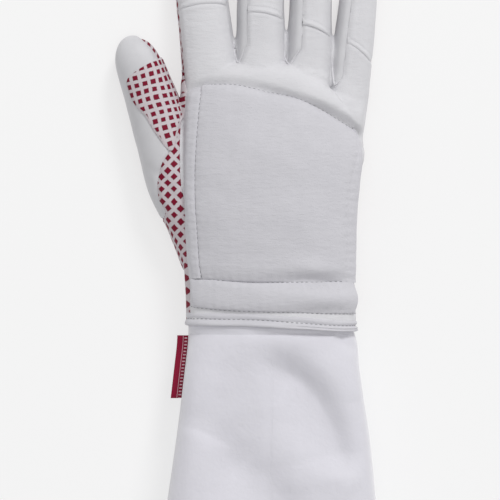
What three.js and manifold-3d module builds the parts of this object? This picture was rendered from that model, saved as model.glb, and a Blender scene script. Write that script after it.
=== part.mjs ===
// Fencing glove for the right hand, lying on its palm as it does when it is put down filled out.
// The hand is a hollow sewn body of several panels: a plain back that runs onto the fingers, a printed grip
// palm that wraps round the thumb side, side strips between the fingers, and a separate outer thumb panel.
// Foam channels are quilted onto the back, and a long open cuff is sewn in under the wrist hem.
//
// Millimetres. x runs across the hand and is negative on the thumb side, y runs from the wrist hem to the
// fingertips and z up from the surface that the palm lies on. The whole glove is centred on its box last.
import * as THREE from "three";
import { mergeVertices } from "three/addons/utils/BufferGeometryUtils.js";
import Module from "manifold-3d";

// Hand, from the wrist hem to the web between the index and middle fingers.
const HAND_LENGTH = 145;
const HAND_WIDTH = 98;
const HAND_HEIGHT = 36;
const HAND_WALL = 1.6;
const HEM_OVERHANG = 0.6;

// Fingers. The length is the middle finger's, from its web to its tip.
const FINGER_LENGTH = 83;
const FINGER_HEIGHT = 25;

// Thumb, from its root inside the hand to its tip.
const THUMB_LENGTH = 132;
const THUMB_WIDTH = 30;
const THUMB_HEIGHT = 26;
const THUMB_LEAN = THREE.MathUtils.degToRad(15.5);

// Cuff, from the wrist hem to its open mouth.
const CUFF_LENGTH = 160;
const CUFF_MOUTH_WIDTH = 124;
const CUFF_MOUTH_HEIGHT = 60;
const CUFF_WALL = 1.4;
const CUFF_TUCK = 9;
const TUCK_GAP = 0.6;
const CUFF_HEM_WIDTH = 14;
const CUFF_FOLD_DEPTH = 3.2;
const CUFF_FOLD_WIDTH = 11;

// Sewn-on pieces.
const PAD_THICKNESS = 4.2;
const PAD_EDGE = 1.4;
const STITCH_GROOVE = 0.8;
const PATCH_THICKNESS = 1.1;
const WELT_WIDTH = 2.4;
const WELT_HEIGHT = 1.1;
const HEM_WIDTH = 6.4;
const HEM_THICKNESS = 1.2;
const LABEL_LENGTH = 34;
const LABEL_REACH = 6.4;
const LABEL_THICKNESS = 1;
const LABEL_START = 3;

// Panels that meet at a seam keep this gap, and so does each piece that lies on another.
const SEAM_GAP = 0.3;
const SMOOTHING = 0.1;

// Fullness of the rounded sections: 2 is an ellipse, more is squarer.
const HAND_FULLNESS = 2.3;
const TUBE_FULLNESS = 2.15;

const HAND_SIDES = 36;
const FINGER_SIDES = 16;
const THUMB_SIDES = 20;
const CUFF_SIDES = 36;

// Hand sections. along is a share of the way to the webs, radial (thumb side) and ulnar are shares of
// HAND_WIDTH from the middle line, height and rest (clearance under the section) shares of HAND_HEIGHT.
const HAND_SECTIONS = [
  { along: -0.03, radial: 0.458, ulnar: 0.466, height: 1.08, rest: 0.11 },
  { along: 0.06, radial: 0.46, ulnar: 0.474, height: 1.07, rest: 0.08 },
  { along: 0.16, radial: 0.464, ulnar: 0.462, height: 1.06, rest: 0.02 },
  { along: 0.28, radial: 0.478, ulnar: 0.458, height: 1.06, rest: 0 },
  { along: 0.42, radial: 0.488, ulnar: 0.463, height: 1.06, rest: 0 },
  { along: 0.56, radial: 0.495, ulnar: 0.474, height: 1.03, rest: 0 },
  { along: 0.7, radial: 0.496, ulnar: 0.492, height: 0.97, rest: 0 },
  { along: 0.82, radial: 0.492, ulnar: 0.505, height: 0.88, rest: 0 },
  { along: 0.92, radial: 0.485, ulnar: 0.51, height: 0.79, rest: 0 },
  { along: 1, radial: 0.475, ulnar: 0.512, height: 0.74, rest: 0 },
];
// From this share of the hand on, the front edge rounds off into the webs.
const HAND_NOSE = 0.935;

// The web line runs straight across as far as the ring finger, and then drops back towards the little one.
const WEB_BEND = 0.15;
const WEB_DROP = 0.55;
const WEB_BEND_WIDTH = 0.07;

// Fingers. root and tip are shares of HAND_WIDTH across, web a share of HAND_LENGTH, length one of
// FINGER_LENGTH, width one of HAND_WIDTH, height one of FINGER_HEIGHT.
const FINGER_SIZES = [
  { name: "index", root: -0.339, tip: -0.423, web: 1, length: 0.89, width: 0.304, height: 1 },
  { name: "middle", root: -0.05, tip: -0.052, web: 1, length: 1, width: 0.27, height: 1.02 },
  { name: "ring", root: 0.22, tip: 0.236, web: 0.995, length: 0.9, width: 0.246, height: 0.97 },
  { name: "little", root: 0.437, tip: 0.515, web: 0.89, length: 0.84, width: 0.228, height: 0.88 },
];
// Seams of each finger in the same order. crease is where the welt crosses, as a share of the finger, and
// slant how far it falls for each unit across towards the little finger. strip is how far in the side strip
// shows on top, as a share of the half width.
const FINGER_SEAMS = [
  { crease: 0.445, slant: 0, strip: -0.92 },
  { crease: 0.335, slant: 0.12, strip: -0.6 },
  { crease: 0.285, slant: 0.3, strip: -0.4 },
  { crease: 0.37, slant: 0.5, strip: -0.4 },
];
const FINGERS = FINGER_SIZES.map((sizes, i) => ({ ...sizes, ...FINGER_SEAMS[i] }));
// Fullness along a finger, as shares of its own width and height. Below 0 it lies inside the hand.
const FINGER_SHAPE = [
  { along: -0.38, width: 0.9, height: 0.98 },
  { along: -0.15, width: 0.97, height: 1 },
  { along: 0, width: 1, height: 0.99 },
  { along: 0.3, width: 0.965, height: 0.95 },
  { along: 0.6, width: 0.93, height: 0.88 },
  { along: 0.82, width: 0.89, height: 0.8 },
  { along: 1, width: 0.84, height: 0.72 },
];
const FINGER_NOSE = 0.84;
const FINGER_REST = 0.2;

// Thumb sections. bow is how far the axis leaves its straight line, a share of THUMB_WIDTH.
const THUMB_ROOT = { across: -0.388, along: 0.235 };
const THUMB_SHAPE = [
  { along: 0, bow: 0.02, width: 0.64, height: 0.8 },
  { along: 0.18, bow: 0.045, width: 0.9, height: 0.94 },
  { along: 0.35, bow: -0.005, width: 1.08, height: 1 },
  { along: 0.54, bow: -0.02, width: 1.02, height: 1 },
  { along: 0.7, bow: -0.04, width: 0.93, height: 0.96 },
  { along: 0.82, bow: -0.075, width: 0.86, height: 0.9 },
  { along: 1, bow: -0.13, width: 0.8, height: 0.8 },
];
const THUMB_NOSE = 0.865;
const THUMB_REST = 0.4;

// Cuff sections from the hem (0) to the mouth (1). radial, ulnar and height run from 0, the size where the
// cuff leaves the hem, to 1, the size of the mouth, and rest is a share of HAND_HEIGHT.
const CUFF_SECTIONS = [
  { along: 0.05, radial: 0.02, ulnar: 0.12, height: 0.02, rest: 0.11 },
  { along: 0.12, radial: 0.13, ulnar: 0.17, height: 0.08, rest: 0.09 },
  { along: 0.24, radial: 0.28, ulnar: 0.31, height: 0.24, rest: 0.05 },
  { along: 0.36, radial: 0.41, ulnar: 0.47, height: 0.38, rest: 0.02 },
  { along: 0.57, radial: 0.65, ulnar: 0.65, height: 0.62, rest: 0 },
  { along: 0.78, radial: 0.84, ulnar: 0.83, height: 0.82, rest: 0 },
  { along: 1, radial: 1, ulnar: 1, height: 1, rest: 0 },
];
// Soft diagonal folds on the top of the cuff. Each runs between two points (across is a share of the half
// width there, along a share of CUFF_LENGTH); width and depth are shares of CUFF_FOLD_WIDTH and
// CUFF_FOLD_DEPTH.
const CUFF_FOLDS = [
  { fromAcross: -0.12, fromAlong: 0.09, toAcross: 0.68, toAlong: 0.36, width: 0.72, depth: 1 },
  { fromAcross: -0.48, fromAlong: 0.28, toAcross: 0.3, toAlong: 0.72, width: 1, depth: 0.7 },
  { fromAcross: -0.95, fromAlong: 0.22, toAcross: -0.35, toAlong: 0.3, width: 0.64, depth: 0.5 },
];

// Padded channels quilted onto the back. left and right are shares of the section's half width, bottom and
// top shares of the hand's length, each a smooth run of values from end to end. fill is a share of
// PAD_THICKNESS, and columns and rows are its faces across and along.
const PADS = [
  {
    name: "pad_main",
    left: [-0.775, -0.795, -0.74],
    right: [0.875, 0.865, 0.9],
    bottom: [0.19, 0.178, 0.2],
    top: [0.905, 0.902, 0.866, 0.876, 0.888],
    fill: 1,
    columns: 12,
    rows: 12,
  },
  {
    name: "pad_radial_channel",
    left: [-0.955, -0.975, -0.975],
    right: [-0.775, -0.795, -0.74],
    bottom: [0.191, 0.191, 0.192],
    top: [0.885, 0.895, 0.9],
    fill: 0.62,
    columns: 3,
    rows: 12,
  },
  {
    name: "pad_ulnar_channel",
    left: [0.875, 0.865, 0.9],
    right: [0.998, 0.996, 0.996],
    bottom: [0.21, 0.21, 0.21],
    top: [0.9, 0.89, 0.88],
    fill: 0.55,
    columns: 3,
    rows: 12,
  },
  {
    name: "pad_wrist_channel",
    left: [-0.95, -0.95, -0.95],
    right: [0.995, 0.995, 0.995],
    bottom: [0.086, 0.068, 0.064],
    top: [0.186, 0.174, 0.196],
    fill: 0.8,
    columns: 14,
    rows: 4,
  },
];

// Seam between the back and the printed palm on the thumb side, in shares of HAND_LENGTH and HAND_WIDTH.
const RADIAL_SEAM = [
  { along: -0.1, across: -0.437 },
  { along: 0.15, across: -0.443 },
  { along: 0.355, across: -0.453 },
  { along: 0.46, across: -0.468 },
  { along: 0.55, across: -0.492 },
  { along: 0.67, across: -0.497 },
  { along: 0.78, across: -0.491 },
  { along: 0.94, across: -0.48 },
];
// Height of the seams on the sides, as shares of the height of the hand or finger there.
const RADIAL_SEAM_HEIGHT = 0.52;
const ULNAR_SEAM = 0.42;
const STRIP_LOW = 0.32;
const STRIP_HIGH = 0.64;
// The side strips run from inside the web to near the tip, in shares of the finger.
const STRIP_START = -0.27;
const STRIP_END = 0.93;
const STRIP_OVERLAP = 0.8;
const INDEX_SEAM = -0.94;

// Edge of the plain outer thumb panel towards the fingers, from the tip down: shares of THUMB_LENGTH along
// and of THUMB_WIDTH across. The printed patch lies over it between the two sets of points below.
const THUMB_PANEL_EDGE = [
  { along: 1.036, across: 0.04 },
  { along: 0.972, across: 0.1 },
  { along: 0.933, across: 0.2 },
  { along: 0.879, across: 0.285 },
  { along: 0.762, across: 0.36 },
  { along: 0.645, across: 0.3 },
  { along: 0.547, across: 0.16 },
  { along: 0.484, across: 0.013 },
  { along: 0.457, across: -0.127 },
  { along: 0.423, across: -0.24 },
  { along: 0.371, across: -0.357 },
  { along: 0.315, across: -0.41 },
  { along: 0.234, across: -0.41 },
];
const THUMB_PANEL_LOW = 0.3;
const PATCH_EDGE = [
  { along: 0.817, across: -0.363 },
  { along: 0.843, across: -0.16 },
  { along: 0.864, across: 0.183 },
  { along: 0.879, across: 0.6 },
  { along: 0.664, across: 0.6 },
  { along: 0.586, across: 0.34 },
  { along: 0.498, across: 0.127 },
  { along: 0.497, across: 0.013 },
  { along: 0.544, across: -0.077 },
  { along: 0.602, across: -0.16 },
  { along: 0.656, across: -0.223 },
  { along: 0.701, across: -0.32 },
  { along: 0.755, across: -0.383 },
];

const suede = new THREE.MeshStandardMaterial({ name: "white suede", color: 0xd6d6da, roughness: 0.9 });
const leather = new THREE.MeshStandardMaterial({ name: "white leather", color: 0xd2d3d4, roughness: 0.75 });
const grip = new THREE.MeshStandardMaterial({ name: "printed grip knit", color: 0xc9a3ad, roughness: 0.85 });
const cloth = new THREE.MeshStandardMaterial({ name: "cuff cloth", color: 0xdcdce2, roughness: 0.85 });
const ribbon = new THREE.MeshStandardMaterial({ name: "crimson ribbon", color: 0x9c0b33, roughness: 0.7 });

const wasm = await Module();
wasm.setup();

// A column of a table at a place between its rows, by a smooth cubic through the rows.
function sample(table, at, column) {
  const next = table.findIndex((row) => row.along > at);
  if (next === -1) return table.at(-1)[column];
  if (next === 0) return table[0][column];
  const from = table[next - 1];
  const to = table[next];
  const slope = (a, b) => (b[column] - a[column]) / (b.along - a.along);
  const span = to.along - from.along;
  const slopeIn = next > 1 ? slope(table[next - 2], to) : slope(from, to);
  const slopeOut = next < table.length - 1 ? slope(from, table[next + 1]) : slope(from, to);
  const t = (at - from.along) / span;
  const u = 1 - t;
  const ends = u * u * (1 + 2 * t) * from[column] + t * t * (3 - 2 * t) * to[column];
  return ends + span * t * u * (u * slopeIn - t * slopeOut);
}

// A smooth curve through evenly spaced values, from the first at 0 to the last at 1.
function through(values, t) {
  const rows = values.map((value, i) => ({ along: i / (values.length - 1), value }));
  return sample(rows, t, "value");
}

// Round end of a tube: 1 up to start, then a quarter circle down to 0 at 1.
function nose(at, start) {
  const t = THREE.MathUtils.clamp((at - start) / (1 - start), 0, 1);
  return Math.sqrt(1 - t * t);
}

const signedPower = (value, power) => Math.sign(value) * Math.abs(value) ** power;

// Where the fingers part from the hand, for a place across it.
function webLine(x) {
  const past = x / HAND_WIDTH - WEB_BEND;
  const eased = (past + Math.sqrt(past * past + WEB_BEND_WIDTH * WEB_BEND_WIDTH)) / 2;
  return HAND_LENGTH * (1 - WEB_DROP * (eased - WEB_BEND_WIDTH / 8));
}

// One ring of points round a section: half widths to each side, reach up and down from its middle height,
// never lower than what it rests on. toPlan turns a place across the section into plan x and y.
function sectionRing({ radial, ulnar, up, middle, rest, fullness, toPlan }, sides) {
  return Array.from({ length: sides }, (_, i) => {
    const angle = (2 * Math.PI * i) / sides;
    const across = signedPower(Math.cos(angle), 2 / fullness);
    const rise = signedPower(Math.sin(angle), 2 / fullness);
    const plan = toPlan(across * (across < 0 ? radial : ulnar));
    return new THREE.Vector3(plan.x, plan.y, Math.max(middle + rise * up, rest));
  });
}

// A closed skin through rings of the same number of points, with a fan over each end.
function loft(rings) {
  const sides = rings[0].length;
  const points = rings.flat();
  const index = [];
  for (let ring = 0; ring < rings.length - 1; ring += 1) {
    for (let side = 0; side < sides; side += 1) {
      const a = ring * sides + side;
      const b = ring * sides + ((side + 1) % sides);
      index.push(a, b, b + sides, a, b + sides, a + sides);
    }
  }
  for (const end of [0, rings.length - 1]) {
    const centre = new THREE.Vector3();
    rings[end].forEach((point) => centre.addScaledVector(point, 1 / sides));
    points.push(centre);
    for (let side = 0; side < sides; side += 1) {
      const a = end * sides + side;
      const b = end * sides + ((side + 1) % sides);
      if (end === 0) index.push(b, a, points.length - 1);
      else index.push(a, b, points.length - 1);
    }
  }
  const geometry = new THREE.BufferGeometry().setFromPoints(points);
  geometry.setIndex(index);
  return geometry;
}

// A closed geometry as a solid for cutting and joining, turned to face outwards if it is inside out.
function solid(geometry) {
  const bare = geometry.clone();
  bare.deleteAttribute("normal");
  bare.deleteAttribute("uv");
  const merged = mergeVertices(bare, 1e-4);
  const build = (triVerts) =>
    new wasm.Manifold(
      new wasm.Mesh({ numProp: 3, vertProperties: merged.attributes.position.array, triVerts }),
    );
  const made = build(new Uint32Array(merged.index.array));
  if (made.volume() >= 0) return made;
  return build(new Uint32Array(merged.index.array).reverse());
}

function geometryOf(made) {
  const { vertProperties, triVerts } = made.getMesh();
  const geometry = new THREE.BufferGeometry();
  geometry.setAttribute("position", new THREE.BufferAttribute(new Float32Array(vertProperties), 3));
  geometry.setIndex(new THREE.BufferAttribute(new Uint32Array(triVerts), 1));
  const flat = geometry.toNonIndexed();
  flat.computeVertexNormals();
  return flat;
}

const joined = (solids) => solids.reduce((all, one) => all.add(one));

// An upright prism over a plan outline. Each point has x, y, low and high, and grow widens it all round.
function prism(outline, grow = 0) {
  const turned = THREE.ShapeUtils.area(outline) < 0 ? [...outline].reverse() : outline;
  const points = turned.map((point, i) => {
    const before = turned.at(i - 1);
    const after = turned[(i + 1) % turned.length];
    const edgeIn = new THREE.Vector2(point.x - before.x, point.y - before.y).normalize();
    const edgeOut = new THREE.Vector2(after.x - point.x, after.y - point.y).normalize();
    const shift = grow / Math.max(1 + edgeIn.dot(edgeOut), 0.3);
    return {
      x: point.x + shift * (edgeIn.y + edgeOut.y),
      y: point.y - shift * (edgeIn.x + edgeOut.x),
      low: point.low - grow,
      high: point.high + grow,
    };
  });
  const cap = THREE.ShapeUtils.triangulateShape(points.map(({ x, y }) => new THREE.Vector2(x, y)), []);
  const count = points.length;
  const index = cap.flatMap(([a, b, c]) => [a + count, b + count, c + count, c, b, a]);
  points.forEach((_, i) => {
    const next = (i + 1) % count;
    index.push(i, next, next + count, i, next + count, i + count);
  });
  const geometry = new THREE.BufferGeometry().setFromPoints([
    ...points.map(({ x, y, low }) => new THREE.Vector3(x, y, low)),
    ...points.map(({ x, y, high }) => new THREE.Vector3(x, y, high)),
  ]);
  geometry.setIndex(index);
  return solid(geometry);
}

// The hand's section at a share of its length, raised by lift all round.
function handSection(along, lift) {
  const height = HAND_HEIGHT * sample(HAND_SECTIONS, along, "height");
  const rest = HAND_HEIGHT * Math.max(sample(HAND_SECTIONS, along, "rest"), 0);
  const round = nose(along, HAND_NOSE);
  return {
    radial: HAND_WIDTH * sample(HAND_SECTIONS, along, "radial") + lift,
    ulnar: HAND_WIDTH * sample(HAND_SECTIONS, along, "ulnar") + lift,
    up: Math.max(height * 0.52 * round + lift, 0.2),
    middle: rest + height * 0.48,
    rest: rest - lift,
    fullness: HAND_FULLNESS,
    toPlan: (x) => ({ x, y: along * webLine(x) + (along > HAND_NOSE ? lift : 0) }),
  };
}

// The hand's body, from behind the hem to the webs. past lengthens it behind the wrist.
function handBody(lift, past = 0) {
  const places = [-HEM_OVERHANG / HAND_LENGTH, 0.03, 0.1, 0.17, 0.25, 0.35, 0.45, 0.55, 0.65, 0.75, 0.84];
  const noseSteps = [0, 0.4, 0.7, 0.9, 0.99].map((t) => HAND_NOSE + t * (1 - HAND_NOSE));
  const rings = [...places, ...noseSteps].map((at) => sectionRing(handSection(at, lift), HAND_SIDES));
  if (past > 0) rings.unshift(rings[0].map((point) => point.clone().setY(point.y - past)));
  return loft(rings);
}

// Place, half width and height of a finger at a share of its own length, and how it lies in plan.
function fingerAt(finger, along, lift = 0) {
  const start = new THREE.Vector2(finger.root * HAND_WIDTH, finger.web * HAND_LENGTH);
  const reach = finger.length * FINGER_LENGTH + lift;
  const lean = ((finger.tip - finger.root) * HAND_WIDTH) / (finger.length * FINGER_LENGTH);
  const along2d = new THREE.Vector2(lean, 1).normalize();
  const side = new THREE.Vector2(along2d.y, -along2d.x);
  const centre = start.clone().addScaledVector(along2d, along * reach);
  return {
    centre,
    side,
    forward: along2d,
    half: (finger.width * HAND_WIDTH * sample(FINGER_SHAPE, along, "width")) / 2,
    height: finger.height * FINGER_HEIGHT * sample(FINGER_SHAPE, along, "height"),
  };
}

function fingerTube(finger, lift) {
  const places = [-0.38, -0.18, 0, 0.15, 0.3, 0.45, 0.6, 0.74];
  const noseSteps = [0, 0.4, 0.7, 0.9, 0.985].map((t) => FINGER_NOSE + t * (1 - FINGER_NOSE));
  const rings = [...places, ...noseSteps].map((along) => {
    const { centre, side, half, height } = fingerAt(finger, along, lift);
    const round = nose(along, FINGER_NOSE);
    const reach = Math.max(half * round + lift, 0.3);
    return sectionRing(
      {
        radial: reach,
        ulnar: reach,
        up: Math.max(height * 0.54 * round + lift, 0.3),
        middle: height * 0.46,
        rest: FINGER_REST - lift,
        fullness: TUBE_FULLNESS,
        toPlan: (across) => centre.clone().addScaledVector(side, across),
      },
      FINGER_SIDES,
    );
  });
  return loft(rings);
}

// Plan point of the thumb for a share of its length and a distance across, towards the fingers positive.
function thumbPlan(along, across, lift = 0) {
  const forward = new THREE.Vector2(-Math.sin(THUMB_LEAN), Math.cos(THUMB_LEAN));
  const side = new THREE.Vector2(forward.y, -forward.x);
  return new THREE.Vector2(THUMB_ROOT.across * HAND_WIDTH, THUMB_ROOT.along * HAND_LENGTH)
    .addScaledVector(forward, along * (THUMB_LENGTH + lift))
    .addScaledVector(side, across);
}

function thumbTube(lift) {
  const places = [0, 0.1, 0.2, 0.3, 0.42, 0.54, 0.65, 0.76];
  const noseSteps = [0, 0.4, 0.7, 0.9, 0.985].map((t) => THUMB_NOSE + t * (1 - THUMB_NOSE));
  const rings = [...places, ...noseSteps].map((along) => {
    const round = nose(along, THUMB_NOSE);
    const height = THUMB_HEIGHT * sample(THUMB_SHAPE, along, "height");
    const bow = THUMB_WIDTH * sample(THUMB_SHAPE, along, "bow");
    const half = (THUMB_WIDTH * sample(THUMB_SHAPE, along, "width")) / 2;
    const reach = Math.max(half * round + lift, 0.3);
    return sectionRing(
      {
        radial: reach,
        ulnar: reach,
        up: Math.max(height * 0.54 * round + lift, 0.3),
        middle: height * 0.46,
        rest: THUMB_REST - lift,
        fullness: TUBE_FULLNESS,
        toPlan: (across) => thumbPlan(along, bow + across, lift),
      },
      THUMB_SIDES,
    );
  });
  return loft(rings);
}

// The whole sewn hand as one solid form, raised by lift.
function handForm(lift, past = 0) {
  const tubes = FINGERS.map((finger) => solid(fingerTube(finger, lift)));
  return joined([solid(handBody(lift, past)), ...tubes, solid(thumbTube(lift))]);
}

const outerForm = handForm(0);
const coveredForm = handForm(SEAM_GAP, 0);
const shell = outerForm.subtract(handForm(-HAND_WALL, HAND_LENGTH / 10));

// Plan zone over a finger between two edges, each a function of the share along it that gives a place
// across, with its lower and upper limits as shares of the finger's height. slant tips its near end.
function fingerZone(finger, { from, to, left, right, low, high = 4, slant = 0 }, grow = 0) {
  const steps = 4;
  const edge = (across) =>
    Array.from({ length: steps + 1 }, (_, i) => {
      const along = from + ((to - from) * i) / steps;
      const { centre, side, forward, height } = fingerAt(finger, along);
      const place = centre.clone().addScaledVector(side, across(along));
      if (i === 0) place.addScaledVector(forward, -slant * across(along));
      const tallest = fingerAt(finger, Math.min(along, FINGER_NOSE)).height;
      return { x: place.x, y: place.y, low: low * Math.min(height, tallest), high: high * tallest };
    });
  return prism([...edge(left), ...edge(right).reverse()], grow);
}

// Half of the distance from a finger's axis to its neighbour's facing side, so that zones meet midway.
function betweenFingers(finger, other, along) {
  const here = fingerAt(finger, along);
  const there = fingerAt(other, along);
  const distance = (other.root - finger.root) * HAND_WIDTH;
  const apart = distance + ((other.tip - other.root) - (finger.tip - finger.root)) * HAND_WIDTH * along;
  const spare = Math.abs(apart) - here.half - there.half;
  return Math.sign(distance) * (here.half + spare / 2);
}

const ZONE_START = -0.16;
const ZONE_END = 1.12;
const beyond = (finger) => finger.width * HAND_WIDTH;

// Side strip between two neighbouring fingers: the facing walls and the web that joins them.
function stripZone(finger, other, grow = 0) {
  const walls = { from: STRIP_START, to: STRIP_END, low: STRIP_LOW, high: STRIP_HIGH };
  const midway = (along) => betweenFingers(finger, other, along) + STRIP_OVERLAP;
  const midwayBack = (along) => betweenFingers(other, finger, along) - STRIP_OVERLAP;
  const seam = (along) => {
    const { half } = fingerAt(other, along);
    const nearWeb = THREE.MathUtils.smoothstep(along, -0.02, 0.12);
    const nearTip = 1 - THREE.MathUtils.smoothstep(along, 0.7, STRIP_END);
    return THREE.MathUtils.lerp(midwayBack(along) * 0.97, other.strip * half, nearWeb * nearTip);
  };
  return joined([
    fingerZone(finger, { ...walls, left: () => 0, right: midway }, grow),
    fingerZone(other, { ...walls, left: midwayBack, right: () => 0 }, grow),
    fingerZone(other, { ...walls, from: 0, high: 4, left: midwayBack, right: seam }, grow),
  ]);
}

const strips = FINGERS.slice(0, -1).map((finger, i) => ({
  name: `side_strip_${finger.name}_${FINGERS[i + 1].name}`,
  zone: stripZone(finger, FINGERS[i + 1]),
  grown: stripZone(finger, FINGERS[i + 1], SEAM_GAP),
}));

// Upper side of one finger, from the seam on its thumb side to the one on its outer side.
function fingerBackZone(i, from, slant, grow = 0) {
  const finger = FINGERS[i];
  const left = (along) =>
    i === 0 ? INDEX_SEAM * fingerAt(finger, along).half : betweenFingers(finger, FINGERS[i - 1], along);
  const right = (along) =>
    i === FINGERS.length - 1 ? beyond(finger) : betweenFingers(finger, FINGERS[i + 1], along);
  return fingerZone(finger, { from, to: ZONE_END, left, right, low: ULNAR_SEAM, slant }, grow);
}

// Upper side of the hand, right of the seam with the printed palm.
function handBackZone(grow = 0) {
  const corner = (across, along, share) => {
    const height = sample(HAND_SECTIONS, along, "height");
    const rest = sample(HAND_SECTIONS, along, "rest");
    const low = (rest + share * height) * HAND_HEIGHT;
    return { x: across * HAND_WIDTH, y: along * HAND_LENGTH, low, high: 3 * HAND_HEIGHT };
  };
  const left = RADIAL_SEAM.map(({ along, across }) => corner(across, along, RADIAL_SEAM_HEIGHT));
  const right = [0.78, 0.5, 0.2, -0.1].map((along) => corner(0.75, along, ULNAR_SEAM));
  return prism([...left, corner(0.34, 0.94, ULNAR_SEAM), ...right], grow);
}

// Plan outline of a piece of the thumb, from a table of shares along and across it.
function thumbOutline(rows, low, high) {
  return rows.map(({ along, across }) => {
    const place = thumbPlan(along, across * THUMB_WIDTH);
    return { x: place.x, y: place.y, low, high };
  });
}

function thumbPanelZone(grow = 0) {
  const outside = [
    { along: 0.2, across: -0.9 },
    { along: 1.06, across: -0.9 },
  ];
  const rows = [...THUMB_PANEL_EDGE, ...outside];
  return prism(thumbOutline(rows, THUMB_PANEL_LOW * THUMB_HEIGHT, 3 * THUMB_HEIGHT), grow);
}

const allStrips = joined(strips.map(({ grown }) => grown));
const fingerZones = FINGERS.map((_, i) => fingerBackZone(i, ZONE_START, 0));
const backZone = joined([handBackZone(), ...fingerZones]);
const back = shell.intersect(backZone).subtract(allStrips).subtract(thumbPanelZone(SEAM_GAP));
const coverZone = (i, grow) => fingerBackZone(i, FINGERS[i].crease, FINGERS[i].slant, grow);

// Welt across the back of a finger, where its two halves are sewn together.
function weltZone(i) {
  const finger = FINGERS[i];
  const width = WELT_WIDTH / (finger.length * FINGER_LENGTH);
  const corner = (along, across) => {
    const { centre, side, forward, height } = fingerAt(finger, along);
    const fall = -finger.slant * across;
    const place = centre.clone().addScaledVector(side, across).addScaledVector(forward, fall);
    return { x: place.x, y: place.y, low: 0.5 * height, high: 2 * height };
  };
  const { half } = fingerAt(finger, finger.crease);
  const [left, right] = [(finger.strip + 0.06) * half, 0.9 * half];
  const [near, far] = [finger.crease - width / 2, finger.crease + width / 2];
  return prism([corner(near, left), corner(near, right), corner(far, right), corner(far, left)]);
}

const welts = FINGERS.map((finger, i) => ({
  name: `knuckle_welt_${finger.name}`,
  made: solid(fingerTube(finger, SEAM_GAP + WELT_HEIGHT)).intersect(weltZone(i)).subtract(coveredForm),
}));

// Padded channel on the back, crowned in the middle and thin along its stitched edges.
function pad({ left, right, bottom, top, fill, columns, rows }) {
  const angleOf = (share) => Math.acos(signedPower(share, HAND_FULLNESS / 2));
  const groove = STITCH_GROOVE / 2;
  const layers = [-1, 1].map((layer) => {
    const grid = [];
    for (let row = 0; row <= rows; row += 1) {
      for (let column = 0; column <= columns; column += 1) {
        const u = column / columns;
        const v = row / rows;
        const from = angleOf(through(left, v));
        const to = angleOf(through(right, v));
        const angle = from + (to - from) * u;
        const along = through(bottom, u) + (through(top, u) - through(bottom, u)) * v;
        const inset = { x: groove * (1 - 2 * u), y: groove * (1 - 2 * v) };
        const crown = (1 - Math.abs(2 * u - 1) ** 3) * (1 - Math.abs(2 * v - 1) ** 4);
        const raised = SEAM_GAP + PAD_EDGE + (PAD_THICKNESS - PAD_EDGE) * fill * crown;
        const lift = layer > 0 ? raised : -HAND_WALL / 2;
        const section = handSection(along, lift);
        const across = signedPower(Math.cos(angle), 2 / HAND_FULLNESS);
        const x = across * (across < 0 ? section.radial : section.ulnar) + inset.x;
        const z = section.middle + section.up * signedPower(Math.sin(angle), 2 / HAND_FULLNESS);
        grid.push(new THREE.Vector3(x, section.toPlan(x).y + inset.y, z));
      }
    }
    return grid;
  });
  return solid(slab(layers, columns, rows)).subtract(coveredForm);
}

// Closed skin over two grids of points, the lower and the upper, joined round their rim.
function slab([lower, upper], columns, rows) {
  const wide = columns + 1;
  const count = lower.length;
  const index = [];
  for (let row = 0; row < rows; row += 1) {
    for (let column = 0; column < columns; column += 1) {
      const a = row * wide + column;
      const [b, c, d] = [a + 1, a + wide, a + wide + 1];
      index.push(a + count, b + count, d + count, a + count, d + count, c + count, a, d, b, a, c, d);
    }
  }
  const bottomRim = Array.from({ length: columns }, (_, i) => i);
  const rightRim = Array.from({ length: rows }, (_, i) => i * wide + columns);
  const topRim = Array.from({ length: columns }, (_, i) => rows * wide + columns - i);
  const leftRim = Array.from({ length: rows }, (_, i) => (rows - i) * wide);
  const rim = [...bottomRim, ...rightRim, ...topRim, ...leftRim];
  rim.forEach((a, i) => {
    const b = rim[(i + 1) % rim.length];
    index.push(a, b, b + count, a, b + count, a + count);
  });
  const geometry = new THREE.BufferGeometry().setFromPoints([...lower, ...upper]);
  geometry.setIndex(index);
  return geometry;
}

// Depth of the cuff's soft folds at a share across its half width and a share of its length.
function foldDepth(across, along) {
  return CUFF_FOLDS.reduce((sum, { fromAcross, fromAlong, toAcross, toAlong, width, depth }) => {
    const half = CUFF_MOUTH_WIDTH / 2;
    const start = new THREE.Vector2(fromAcross * half, fromAlong * CUFF_LENGTH);
    const end = new THREE.Vector2(toAcross * half, toAlong * CUFF_LENGTH);
    const place = new THREE.Vector2(across * half, along * CUFF_LENGTH);
    const run = end.clone().sub(start);
    const t = THREE.MathUtils.clamp(place.clone().sub(start).dot(run) / run.lengthSq(), 0, 1);
    const distance = place.distanceTo(start.addScaledVector(run, t));
    return sum + depth * CUFF_FOLD_DEPTH * Math.exp(-((distance / (width * CUFF_FOLD_WIDTH)) ** 2));
  }, 0);
}

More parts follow.
